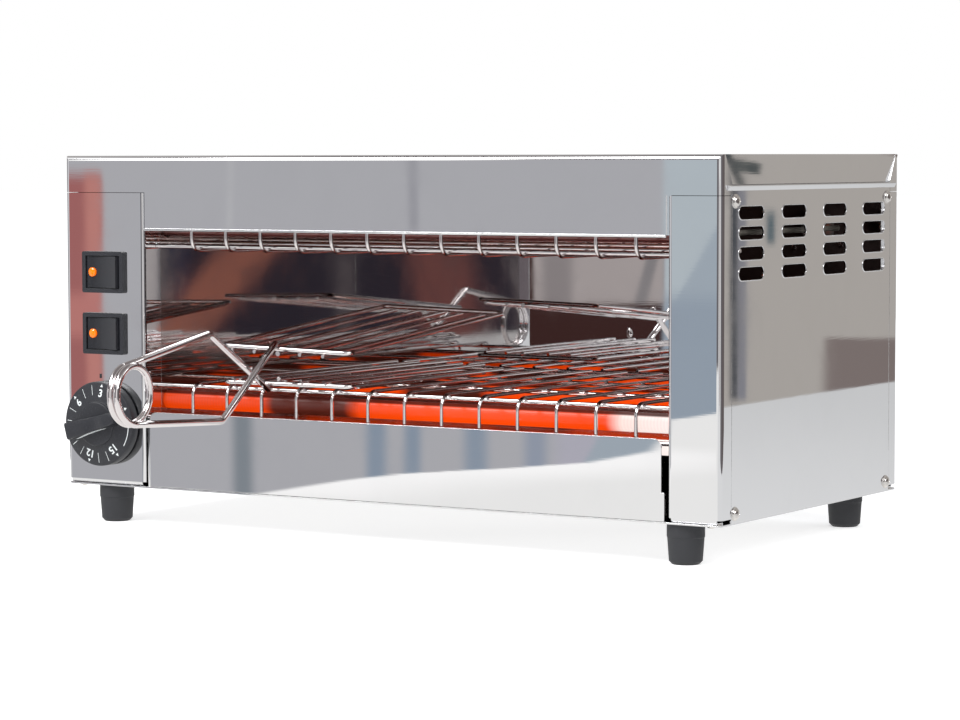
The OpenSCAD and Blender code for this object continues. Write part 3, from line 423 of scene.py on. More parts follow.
# chamber's right wall: its faces turned to +X get a painted dark brown shade
PAINTED_SHADE_STEEL = steel("sooted_steel", **SATIN, shade=(0.075, 0.035, 0.03))
# Nodes that look otherwise than the rest of their slot
OWN_MATS = {"tube_upper_front": COLD_TUBE, "tube_upper_rear": COLD_TUBE,
            "upper_reflector": BURNT_WITH_PAINTED_REFLECTION, "lower_reflector": BURNT_WITH_PAINTED_REFLECTION,
            "top_hood": HOOD_STEEL, "control_panel": FLAT_STEEL, "right_post": FLAT_STEEL,
            "chamber_wall_right": PAINTED_SHADE_STEEL}
SLOT_OF = {s["node"]: s["material_slot"] for s in frame["record"]["subparts"]}

for node_name, obj in NODES.items():
    slot_name = SLOT_OF[node_name]
    obj.data.materials.clear()
    obj.data.materials.append(OWN_MATS.get(node_name, MATS[slot_name]))


# ---------- mesh helpers ----------

# A shape is a pair of its points, in metres, and its faces.


def smooth_mesh(name, verts, faces, sharp=None):
    """Smooth mesh, with edges sharper than the given angle kept sharp."""
    mesh = bpy.data.meshes.new(name)
    mesh.from_pydata([tuple(v) for v in verts], [], faces)
    mesh.update()
    for polygon in mesh.polygons:
        polygon.use_smooth = True
    if sharp:
        mesh.set_sharp_from_angle(angle=math.radians(sharp))
    return mesh


def add_piece(name, shape, body, slot_name, *replaced, sharp=None, material=None):
    mesh = smooth_mesh(name, *shape, sharp)
    obj = bpy.data.objects.new(name, mesh)
    scene.collection.objects.link(obj)
    mesh.materials.append(material or MATS[slot_name])
    if body:
        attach(obj, body)
    if replaced:
        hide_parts(*replaced)
    return obj


def joined(shapes):
    """One shape from several."""
    verts, faces = [], []
    for more_verts, more_faces in shapes:
        faces += [tuple(len(verts) + i for i in face) for face in more_faces]
        verts += more_verts
    return verts, faces


# Rings of a wire's domed end, as angles from its foot, and the dome's height per radius
DOME = [math.radians(t) for t in (75, 50, 25)]
DOME_FLAT = 0.35


def sweep(points, radius, sides=24):
    """Round wire with domed ends along points, in metres."""
    verts, faces = [], []
    points = [Vector(p) for p in points]
    first = (points[1] - points[0]).normalized()
    last = (points[-1] - points[-2]).normalized()
    stations = [(points[0] - first * radius * math.sin(a) * DOME_FLAT, radius * math.cos(a)) for a in DOME]
    stations += [(p, radius) for p in points]
    stations += [(points[-1] + last * radius * math.sin(a) * DOME_FLAT, radius * math.cos(a))
                 for a in reversed(DOME)]
    tangents = []
    for i in range(len(stations)):
        a = stations[max(i - 1, 0)][0]
        b = stations[min(i + 1, len(stations) - 1)][0]
        tangents.append((b - a).normalized())
    u = tangents[0].orthogonal().normalized()
    for (centre, r), t in zip(stations, tangents):
        u = (u - t * u.dot(t)).normalized()
        v = t.cross(u)
        for k in range(sides):
            a = 2 * math.pi * k / sides
            verts.append(centre + u * (r * math.cos(a)) + v * (r * math.sin(a)))
    n = len(stations)
    for i in range(n - 1):
        for k in range(sides):
            a = i * sides + k
            b = i * sides + (k + 1) % sides
            faces.append((a, b, b + sides, a + sides))
    faces.append(tuple(reversed(range(sides))))
    faces.append(tuple((n - 1) * sides + k for k in range(sides)))
    return verts, faces


def lathe(profile, to_world, sides=128):
    """Turned solid from (radius, height) pairs that start and end on the axis."""
    verts = [to_world(0, 0, profile[0][1])]
    inner = profile[1:-1]
    for r, h in inner:
        for k in range(sides):
            a = 2 * math.pi * k / sides
            verts.append(to_world(r * math.cos(a), r * math.sin(a), h))
    verts.append(to_world(0, 0, profile[-1][1]))
    faces = []
    for k in range(sides):
        n = (k + 1) % sides
        faces.append((0, 1 + n, 1 + k))
        for i in range(len(inner) - 1):
            a = 1 + i * sides
            faces.append((a + k, a + n, a + sides + n, a + sides + k))
        a = 1 + (len(inner) - 1) * sides
        faces.append((a + k, a + n, len(verts) - 1))
    return verts, faces


def prism(outline, to_world, span):
    """Straight bar: an outline of (u, v) points carried between two heights."""
    n = len(outline)
    verts = [to_world(u, v, w) for w in span for u, v in outline]
    faces = [(k, (k + 1) % n, n + (k + 1) % n, n + k) for k in range(n)]
    faces += [tuple(reversed(range(n))), tuple(range(n, 2 * n))]
    return verts, faces


# ---------- folded edges of the hood and the tray ----------

# The header's lower hem, as (depth, height) points; it and the side lips lean outwards, so that
# they mirror the table
HEM_SPAN = (-164.6, 190.9)
HEM_PROFILE = [(-0.3, 156.6), (-0.5, 156.4), (-0.48, 156.2), (-0.1, 155.25), (0.0, 155.2), (0.0, 156.6)]
# A side lip, as points out from the side and in height
LIP_SPAN = (6.5, 219.5)
LIP_PROFILE = [(1.25, 183.3), (1.55, 182.9), (1.45, 182.5), (0.45, 180.45), (0.2, 180.4), (0.0, 180.6),
               (0.0, 183.4)]
# Plate in the seam between the header and the right post, as (across, depth) points
SEAM_SPAN = (156.5, 179.0)
SEAM_PROFILE = [(190.9, 0.7), (194.2, 0.7), (194.2, 1.1), (190.9, 1.1)]
# Patch on each rear mitre of the hood's leaning sides, as (depth, height) points, its heights
# above the side, a point of the side, and the side's lean per mm of height
MITRE_PATCH = [(213.8, 184.9), (219.9, 184.9), (224.6, 199.7), (221.3, 199.7)]
MITRE_SPAN = (0.06, 0.14)
MITRE_OUT, MITRE_Z, MITRE_LEAN = 223.6, 184.7, 0.0915
# Bent left edge of the tray's front, which catches the light beside the control panel, as
# (across, depth) points
TRAY_EDGE_SPAN = (0.8, 43.0)
TRAY_EDGE = [(-161.5, 0.15), (-161.5, 0.9), (-163.3, 1.0), (-163.5, 0.9), (-163.4, 0.6), (-161.8, 0.15)]


def build_hems():
    def on_lip(side):
        return lambda u, v, w: at(side * (HALF_W + u), w, v)

    def on_mitre(side):
        return lambda u, v, w: at(side * (MITRE_OUT + (v - MITRE_Z) * MITRE_LEAN + w), u, v)

    parts = [prism(HEM_PROFILE, lambda u, v, w: at(w, u, v), HEM_SPAN)]
    for side in (-1, 1):
        parts.append(prism(LIP_PROFILE, on_lip(side), LIP_SPAN))
        parts.append(prism(MITRE_PATCH, on_mitre(side), MITRE_SPAN))
    parts.append(prism(SEAM_PROFILE, at, SEAM_SPAN))
    add_piece("hood_hems", joined(parts), "melter", "polished_steel", sharp=40)


def build_tray_edge():
    add_piece("tray_edge", prism(TRAY_EDGE, at, TRAY_EDGE_SPAN), "tray", "polished_steel", sharp=30)


build_hems()
build_tray_edge()

# ---------- burrs of the stamped vents ----------

VENT_L, VENT_H, VENT_COLUMNS, VENT_ROWS = 30.0, 7.2, 4, 4
VENT_D, VENT_Z = 34.5, 168.4
VENT_PITCH_D, VENT_PITCH_Z = 157.0 / 3, 11.0
# Radius of the burr, how far its middle lies outside the vent's edge, and the slit in its ring
BURR = 0.33
BURR_OUTSIDE = BURR * 0.4
BURR_SLIT = 0.01
BURR_SIDES, BURR_TURNS = 10, 12


def vent_rim():
    """Path round a vent from the middle of its lower edge, as (depth, height) from its centre."""
    reach, r = (VENT_L - VENT_H) / 2, VENT_H / 2 + BURR_OUTSIDE
    turns = [math.pi * i / BURR_TURNS for i in range(1, BURR_TURNS)]
    rim = [(0, -r), (reach, -r)]
    rim += [(reach + r * math.sin(a), -r * math.cos(a)) for a in turns]
    rim += [(reach, r), (-reach, r)]
    rim += [(-reach - r * math.sin(a), r * math.cos(a)) for a in turns]
    return rim + [(-reach, -r), (-BURR_SLIT, -r)]


def build_burrs():
    rim = vent_rim()
    burrs = []
    for place in range(2 * VENT_COLUMNS * VENT_ROWS):
        side = place % 2 * 2 - 1
        row, column = divmod(place // 2, VENT_COLUMNS)
        d0, z0 = VENT_D + column * VENT_PITCH_D, VENT_Z - row * VENT_PITCH_Z
        path = [at(side * HALF_W, d0 + d, z0 + z) for d, z in rim]
        burrs.append(sweep(path, BURR * MM, BURR_SIDES))
    add_piece("vent_burrs", joined(burrs), "melter", "polished_steel", sharp=60)


build_burrs()

# ---------- tongs ----------

TONG_R = 2.0
COIL_R = 16.0
COIL_D, COIL_Z = -133.0, 68.8
COIL_STEPS = 110
UP_X, DOWN_X = -72.5, -66.0
UP_BEND = Vector((UP_X, -57.6, 98.65))
DOWN_BEND = Vector((DOWN_X, -55.7, 48.75))
# Depth and height of the paddles' wires that the arms are welded to, and their radius
LOW_WIRE = (-1.0, 66.8)
HIGH_WIRE = (-2.0, 87.2)
FRAME_R = 1.4
ARM_BEND_R, ARM_BEND_STEPS = 6, 12
# How far an arm reaches beyond its wire, and how far it is sunk into it
ARM_OVER = 1.5
WELD_SINK = 0.15


def leave_angle(p, side):
    """Angle round the coil at which the tangent to point p leaves it."""
    dy, dz = p[1] - COIL_D, p[2] - COIL_Z
    return math.atan2(dz, dy) + side * math.acos(COIL_R / math.hypot(dy, dz))


def coil_point(a, x):
    return Vector((x, COIL_D + COIL_R * math.cos(a), COIL_Z + COIL_R * math.sin(a)))


def rounded(a, b, c, r, steps):
    """Points of a bend of radius r at b, on the path a, b, c."""
    u, w = (a - b).normalized(), (c - b).normalized()
    half = math.acos(max(-1, min(1, u.dot(w)))) / 2
    centre = b + (u + w).normalized() * (r / math.sin(half))
    p = b + u * (r / math.tan(half)) - centre
    q = b + w * (r / math.tan(half)) - centre
    turn = math.pi - 2 * half
    return [centre + (p * math.sin((1 - k / steps) * turn) + q * math.sin(k / steps * turn)) / math.sin(turn)
            for k in range(steps + 1)]


def arm_points(start, bend, wire, side):
    """Path of an arm from the coil round its bend to the paddle's wire, in mm."""
    q = Vector((bend[0], *wire))
    along = (q - bend).normalized()
    normal = Vector((0, -along[2], along[1])) * side
    tip = q + normal * (TONG_R + FRAME_R - WELD_SINK) + along * ARM_OVER
    path = [start + (bend - start) * k for k in (0, 0.25, 0.5, 0.75)]
    path += rounded(start, bend, tip, ARM_BEND_R, ARM_BEND_STEPS)
    last = path[-1]
    path += [last + (tip - last) * k for k in (0.33, 0.66, 1)]
    return path


def tong_wire(path):
    return sweep([at(*p) for p in path], TONG_R * MM)


def build_tongs():
    up_angle = leave_angle(UP_BEND, 1)
    down_angle = leave_angle(DOWN_BEND, -1)
    up = arm_points(coil_point(up_angle, UP_X), UP_BEND, LOW_WIRE, -1)
    down = arm_points(coil_point(down_angle, DOWN_X), DOWN_BEND, HIGH_WIRE, 1)
    add_piece("tongs_upper_arm_wire", tong_wire(up), "tongs_base", "chrome_wire", "tongs_upper_arm")
    add_piece("tongs_lower_arm_wire", tong_wire(down), "tongs_top", "chrome_wire", "tongs_lower_arm")
    sweep_angle = 4 * math.pi - up_angle + down_angle
    coil = [coil_point(up_angle + sweep_angle * k / COIL_STEPS, UP_X + (DOWN_X - UP_X) * k / COIL_STEPS)
            for k in range(COIL_STEPS + 1)]
    spring = add_piece("tongs_spring_wire", tong_wire(coil), None, "chrome_wire", "tongs_spring")
    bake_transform(spring)


build_tongs()

# ---------- timer knob and its dial ----------

PANEL_X, TIMER_Z = -195.0, 38.2
# Printed ring of the disc, a shallow cone: its edge and its foot, as (radius, height)
RING_EDGE, RING_FOOT = (24.6, 7.68), (14.2, 8.95)
KNOB_PROFILE = [(0, 0.8), (24.8, 0.8), (25.4, 1.0), (25.6, 1.5), (25.6, 6.9), (25.45, 7.3), (25.1, 7.55),
                RING_EDGE, RING_FOOT, (13.7, 9.1), (13.45, 9.4), (13.4, 9.9), (13.25, 10.3), (12.9, 10.52),
                (12.4, 10.6), (0, 10.6)]
INDEX_MARK = [(-199.5, 65.4), (-198.1, 65.4), (-198.1, 68.0), (-199.5, 68.0)]
INDEX_SPAN = (-0.25, 0.0)


def on_dial(x, y, out):
    """Point on the knob: x to the right, y up, out towards the user."""
    return at(PANEL_X + x, -out, TIMER_Z + y)


def ring_out(r):
    """Height of the printed ring at a radius."""
    (edge_r, edge_out), (foot_r, foot_out) = RING_EDGE, RING_FOOT
    return edge_out + (foot_out - edge_out) * ((edge_r - r) / (edge_r - foot_r))


# The grip, from its pointer end to its tail, and its half widths and the height of its front there
GRIP_ENDS = (-19.0, 19.0)
GRIP_HALF = (5.3, 3.5)
GRIP_OUT = 16.5
GRIP_TILT = math.radians(15)
GRIP_STATIONS = 48
# Rounding of the pointer end: its length and its depth
TIP_L, TIP_IN = 0.7, 0.6
TAIL_LEAST = 0.02
# Dip of the front: its depth, and its start and length as shares of the grip
DIP, DIP_FROM, DIP_L = 1.1, 0.36, 0.42
# Hollow of the flanks: its depth, its start from the pointer end and its length
SCOOP, SCOOP_FROM, SCOOP_L = 0.9, 5, 26
# Flank of a section from the disc up: beyond its half width, share of the hollow, and height
FLANK_PROFILE = [(1.3, 0.2, 8.0), (0.75, 0.4, 9.4), (0.35, 0.7, 11.2), (0.12, 0.5, 13.2)]
# Its rounded shoulder: inside the half width, and below the front
SHOULDER = [(0.0, 1.0), (0.12, 0.45), (0.42, 0.12)]
SHOULDER_IN = 0.9
HALF_LEAST, RIDGE_LEAST = 0.01, 0.02
# Painted highlight, a bright wedge on the lower flank: its ends along the grip, the height of its
# middle, its half height, its share of the hollow, and how far it stands proud
WEDGE_ENDS, WEDGE_STATIONS = (-15.5, 8.0), 24
WEDGE_MID, WEDGE_HALF, WEDGE_SCOOP, WEDGE_PROUD = 11.4, 1.7, 0.55, 0.12
# Two points of the flank between which it lies: beyond the half width, and height
WEDGE_FOOT, WEDGE_HEAD = (0.75, 9.4), (0.12, 13.2)


def bulge(k):
    """Half a sine wave over k from 0 to 1, and 0 outside it."""
    return math.sin(math.pi * min(1, max(0, k)))


def grip_section(u):
    """Half width and height of the grip's front at a place along it."""
    start, end = GRIP_ENDS
    wide, narrow = GRIP_HALF
    k = (u - start) / (end - start)
    half = wide + (narrow - wide) * k
    tail = end - narrow
    if u > tail:
        half = narrow * math.sqrt(max(TAIL_LEAST, 1 - ((u - tail) / narrow) ** 2))
    near = (u - start) / TIP_L
    if near < 1:
        half -= TIP_IN * (1 - math.sqrt(max(0, near * (2 - near))))
    return half, GRIP_OUT - DIP * bulge((k - DIP_FROM) / DIP_L) ** 1.5


def scoop_at(u):
    """Depth of the flanks' hollow at a place along the grip."""
    return SCOOP * bulge((u - GRIP_ENDS[0] - SCOOP_FROM) / SCOOP_L)


def grip_line(u):
    """One flank and half the front of a section, as (half width, height) points."""
    half, top = grip_section(u)
    scoop = scoop_at(u)
    line = [(half + out - scoop * share, height) for out, share, height in FLANK_PROFILE]
    line += [(half - inside, top - below) for inside, below in SHOULDER]
    line.append((max(half - SHOULDER_IN, RIDGE_LEAST), top))
    return [(max(v, HALF_LEAST), w) for v, w in line]


def build_grip():
    """The grip's moulding, whose pointer end stands below level on the left."""
    start, end = GRIP_ENDS
    c, s = math.cos(GRIP_TILT), math.sin(GRIP_TILT)
    n = GRIP_STATIONS + 1
    verts, faces = [], []
    for i in range(n):
        u = start + (end - start) * (0.5 - 0.5 * math.cos(math.pi * i / GRIP_STATIONS))
        line = grip_line(u)
        ring = [(-v, w) for v, w in line] + line[::-1]
        verts += [on_dial(u * c - v * s, u * s + v * c, w) for v, w in ring]
    size = len(verts) // n
    for i in range(n - 1):
        for k in range(size - 1):
            a = i * size + k
            faces.append((a, a + size, a + size + 1, a + 1))
    faces.append(tuple(range(size)))
    faces.append(tuple((n - 1) * size + k for k in reversed(range(size))))
    return verts, faces


def build_flank():
    """Painted highlight: a bright wedge along the lower flank of the grip."""
    c, s = math.cos(GRIP_TILT), math.sin(GRIP_TILT)
    start, end = WEDGE_ENDS
    (foot_out, foot_height), (head_out, head_height) = WEDGE_FOOT, WEDGE_HEAD
    lean = (head_out - foot_out) / (head_height - foot_height)
    verts, faces = [], []
    for i in range(WEDGE_STATIONS + 1):
        k = i / WEDGE_STATIONS
        u = start + (end - start) * k
        half = grip_section(u)[0]
        reach = WEDGE_HALF * math.sin(math.pi * min(1, 0.06 + k * 0.9)) ** 0.7
        for w in (WEDGE_MID - reach, WEDGE_MID + reach):
            v = half + foot_out + (w - foot_height) * lean - scoop_at(u) * WEDGE_SCOOP + WEDGE_PROUD
            verts.append(on_dial(u * c + v * s, u * s - v * c, w))
    for i in range(WEDGE_STATIONS):
        a = 2 * i
        faces.append((a, a + 1, a + 3, a + 2))
    return verts, faces


# Size of the type per height of its figures, and how much bolder its strokes are made
TYPE_SIZE, TYPE_BOLD = 1.38, 0.035


def glyph_shape(text, height):
    """Filled figures as flat points and faces, in mm, centred on the origin."""
    curve = bpy.data.curves.new("figures", "FONT")
    curve.body = text
    curve.size = height * TYPE_SIZE
    curve.offset = TYPE_BOLD * height
    curve.align_x = "CENTER"
    curve.resolution_u = 6
    holder = bpy.data.objects.new("figures", curve)
    scene.collection.objects.link(holder)
    bpy.context.view_layer.update()
    flat = bpy.data.meshes.new_from_object(holder.evaluated_get(bpy.context.evaluated_depsgraph_get()))
    points = [(v.co.x, v.co.y - height / 2) for v in flat.vertices]
    faces = [tuple(p.vertices) for p in flat.polygons]
    bpy.data.objects.remove(holder)
    bpy.data.curves.remove(curve)
    bpy.data.meshes.remove(flat)
    return points, faces


# Dial: its 0 in degrees round from the top, to the left, and degrees per minute
DIAL_ZERO, MINUTE = -64.6, 18.93
LAST_MINUTE, FIGURE_EVERY = 15, 3
PRINT_PROUD = 0.03
TICK_R = 20.6
TICK = [(-0.16, -3.0), (0.16, -3.0), (0.16, 3.0), (-0.16, 3.0)]
FIGURE_R, FIGURE_H = 19.0, 4.6
ARROW_R = 22.6
ARROW = [(-1.0, 0), (1.0, 0), (0, 1.9)]
# Line that marks the hold-on sector: its start after the last minute and its turn, in degrees
HOLD_FROM, HOLD_TURN, HOLD_STEPS = 18, 36, 24
HOLD_R = (23.0, 23.5)


def build_dial():
    """Printed scale: figures, triangles and ticks laid on the ring, with their tops outward."""
    verts, faces = [], []

    def lay(points, polygons):
        base = len(verts)
        verts.extend(on_dial(x, y, ring_out(math.hypot(x, y)) + PRINT_PROUD) for x, y in points)
        faces.extend(tuple(base + i for i in polygon) for polygon in polygons)

    def stamp(points, polygons, turn, radius):
        a = math.radians(turn)
        ux, uy = -math.cos(a), -math.sin(a)
        lay([(-math.sin(a) * (radius + py) - ux * px, math.cos(a) * (radius + py) - uy * px)
             for px, py in points], polygons)

    for minute in range(LAST_MINUTE + 1):
        turn = DIAL_ZERO + minute * MINUTE
        if minute % FIGURE_EVERY:
            stamp(TICK, [(0, 1, 2, 3)], turn, TICK_R)
            continue
        stamp(*glyph_shape(str(minute), FIGURE_H), turn, FIGURE_R)
        stamp(ARROW, [(0, 1, 2)], turn, ARROW_R)
    inner, outer = HOLD_R
    start = DIAL_ZERO + LAST_MINUTE * MINUTE + HOLD_FROM
    arc = [math.radians(start + HOLD_TURN * k / HOLD_STEPS) for k in range(HOLD_STEPS + 1)]
    for a0, a1 in zip(arc, arc[1:]):
        corners = ((a0, inner), (a1, inner), (a1, outer), (a0, outer))
        lay([(-math.sin(a) * r, math.cos(a) * r) for a, r in corners], [(0, 1, 2, 3)])
    return verts, faces


def build_knob():
    moulding = joined([lathe(KNOB_PROFILE, on_dial), build_grip()])
    add_piece("timer_knob_moulding", moulding, "timer", "black_plastic", "timer_knob", sharp=32)
    add_piece("timer_dial_print", build_dial(), "timer", "ceramic", material=PRINT_AND_PAINTED_HIGHLIGHT)
    add_piece("timer_grip_painted_highlight", build_flank(), "timer", "ceramic", material=PRINT_AND_PAINTED_HIGHLIGHT)
    mark = prism(INDEX_MARK, lambda u, v, w: at(u, w, v), INDEX_SPAN)
    add_piece("timer_index_mark", mark, "melter", "black_plastic", sharp=32)


build_knob()

# ---------- screws ----------

SIDE_SCREW_D, SIDE_SCREW_Z = (16.0, 210.0), (6.0, 174.8)
SCREW_SIDES, SCREW_TURN = 48, math.radians(20)
# Washer and domed head, as (radius, height)
SCREW_PROFILE = [(3.9, 0.0), (3.9, 0.35), (3.75, 0.5), (3.1, 0.5), (3.05, 0.55), (3.05, 0.8), (2.95, 1.15),
                 (2.7, 1.5), (2.35, 1.78), (1.95, 1.97), (1.5, 2.1), (1.0, 2.17), (0.5, 2.2)]
# Cross recess: its reach, the slope at its ends, half the width of its arms, its depth and the
# height of its middle
CROSS_R, CROSS_SLOPE, CROSS_ARM, CROSS_DEPTH, CROSS_MIDDLE = 1.9, 0.35, 0.42, 0.9, 1.1


def cross_depth(x, y, r):
    """Depth of the recess at a point of the head."""
    if r >= CROSS_R:
        return 0
    across = max(0, 1 - (min(abs(x), abs(y)) / CROSS_ARM) ** 4)
    return CROSS_DEPTH * across * max(0, min(1, (CROSS_R - r) / CROSS_SLOPE))


def screw_head(centre, out, up):
    """Washer and domed head with a cross recess; out is its axis and up any direction across it."""
    side = out.cross(up)
    verts, faces = [], []
    for r, h in SCREW_PROFILE:
        for k in range(SCREW_SIDES):
            a = 2 * math.pi * k / SCREW_SIDES + SCREW_TURN
            x, y = r * math.cos(a), r * math.sin(a)
            verts.append(centre + (side * x + up * y) * MM + out * ((h - cross_depth(x, y, r)) * MM))
    verts.append(centre + out * (CROSS_MIDDLE * MM))
    for i in range(len(SCREW_PROFILE) - 1):
        for k in range(SCREW_SIDES):
            a, b = i * SCREW_SIDES + k, i * SCREW_SIDES + (k + 1) % SCREW_SIDES
            faces.append((a, b, b + SCREW_SIDES, a + SCREW_SIDES))
    top = (len(SCREW_PROFILE) - 1) * SCREW_SIDES
    for k in range(SCREW_SIDES):
        faces.append((top + k, top + (k + 1) % SCREW_SIDES, len(verts) - 1))
    return verts, faces


def build_screws():
    heads = []
    for side in (-1, 1):
        for d in SIDE_SCREW_D:
            for z in SIDE_SCREW_Z:
                verts, faces = screw_head(at(side * HALF_W, d, z), Vector((side, 0, 0)), Vector((0, 0, 1)))
                if side < 0:
                    faces = [tuple(reversed(face)) for face in faces]
                heads.append((verts, faces))
    add_piece("side_screw_heads", joined(heads), "melter", "zinc_screws", sharp=40)


build_screws()

# ---------- floor and light ----------

# The table's edges, in metres.  Its left edge wanders, given as (y, x) places of a curve
TABLE_LEFT = [(-1.10, -0.250), (-0.90, -0.250), (-0.86, -0.253), (-0.74, -0.19), (-0.61, -0.131),
              (-0.51, -0.127), (-0.44, -0.158), (-0.375, -0.200), (-0.32, -0.210), (-0.20, -0.210),
              (-0.17, -0.60), (0.0, -0.60)]
TABLE_RIGHT, TABLE_FRONT, TABLE_BACK = 0.722, -1.6, 2.5
LEFT_SOFT, RIGHT_SOFT, END_SOFT = 0.008, 0.006, 0.1
FLOOR_HALF = 14.0
FLOOR_COLOUR, FLOOR_LIFT = (0.86, 0.86, 0.86), 0.5
# What mirrors show of the table: whitest near its left edge, and greyer beside the case, more so
# towards its back; that grey is a painted shade of the case on the table
FRONT_PLAIN, FRONT_BRIGHT = (0.985, 0.98, 0.965), (1.15, 1.14, 1.13)
BRIGHT_REACH, BRIGHT_Y, BRIGHT_SOFT = 0.16, (-0.62, -0.2), 0.06
PAINTED_SHADE_NEAR, PAINTED_SHADE_FAR = (0.83, 0.835, 0.84), (0.68, 0.685, 0.69)
PAINTED_SHADE_X, PAINTED_SHADE_Y = (0.235, 0.255), (-0.1, 1.2)


def make_floor():
    """White table under the case, with a painted shade beside the case where mirrors see it; beyond its
    edges mirrors see the room.
    """
    size = FLOOR_HALF
    mesh = bpy.data.meshes.new("floor")
    mesh.from_pydata([(-size, -size, 0), (size, -size, 0), (size, size, 0), (-size, size, 0)], [],
                     [(0, 1, 2, 3)])
    floor = bpy.data.objects.new("floor", mesh)
    scene.collection.objects.link(floor)
    material, m = new_mat("floor")
    x, y, _ = m.split(m.coords())
    first, last = TABLE_LEFT[0][0], TABLE_LEFT[-1][0]
    along = m.add("ShaderNodeMapRange", None, Value=y, From_Min=first, From_Max=last).outputs[0]
    # a ramp holds no values below 0, so x is counted from 1 m to the left
    wander = m.ramp(along, [((py - first) / (last - first), px + 1) for py, px in TABLE_LEFT])
    inward = m.math("SUBTRACT", m.math("ADD", x, 1.0), wander).outputs[0]
    table = m.math("MULTIPLY", m.step(inward, -LEFT_SOFT, LEFT_SOFT),
                   m.step(x, TABLE_RIGHT + RIGHT_SOFT, TABLE_RIGHT - RIGHT_SOFT))
    table = m.math("MULTIPLY", table, m.between(y, TABLE_FRONT, TABLE_BACK, END_SOFT))
    path = m.add("ShaderNodeLightPath")
    bright = m.math("MULTIPLY", m.step(inward, BRIGHT_REACH, 0.0), m.between(y, *BRIGHT_Y, BRIGHT_SOFT))
    front = m.mix(bright, FRONT_PLAIN, FRONT_BRIGHT)
    # painted shade: the table beside the case is greyer where mirrors see it
    side = m.mix(m.step(y, *PAINTED_SHADE_Y), PAINTED_SHADE_NEAR, PAINTED_SHADE_FAR)
    shade = m.mix(m.step(x, *PAINTED_SHADE_X), front, side)
    shown = m.mix_shader(table, m.add("ShaderNodeBsdfTransparent").outputs[0],
                         m.add("ShaderNodeEmission", None, Color=shade).outputs[0])
    diffuse = m.add("ShaderNodeBsdfDiffuse", None, Color=FLOOR_COLOUR)
    power = m.math("MULTIPLY", path.outputs["Is Camera Ray"], FLOOR_LIFT)
    lift = m.add("ShaderNodeEmission", None, Strength=power)
    solid = m.add("ShaderNodeAddShader", None, i0=diffuse, i1=lift)
    m.surface(m.mix_shader(path.outputs["Is Glossy Ray"], solid.outputs[0], shown))
    mesh.materials.append(material)


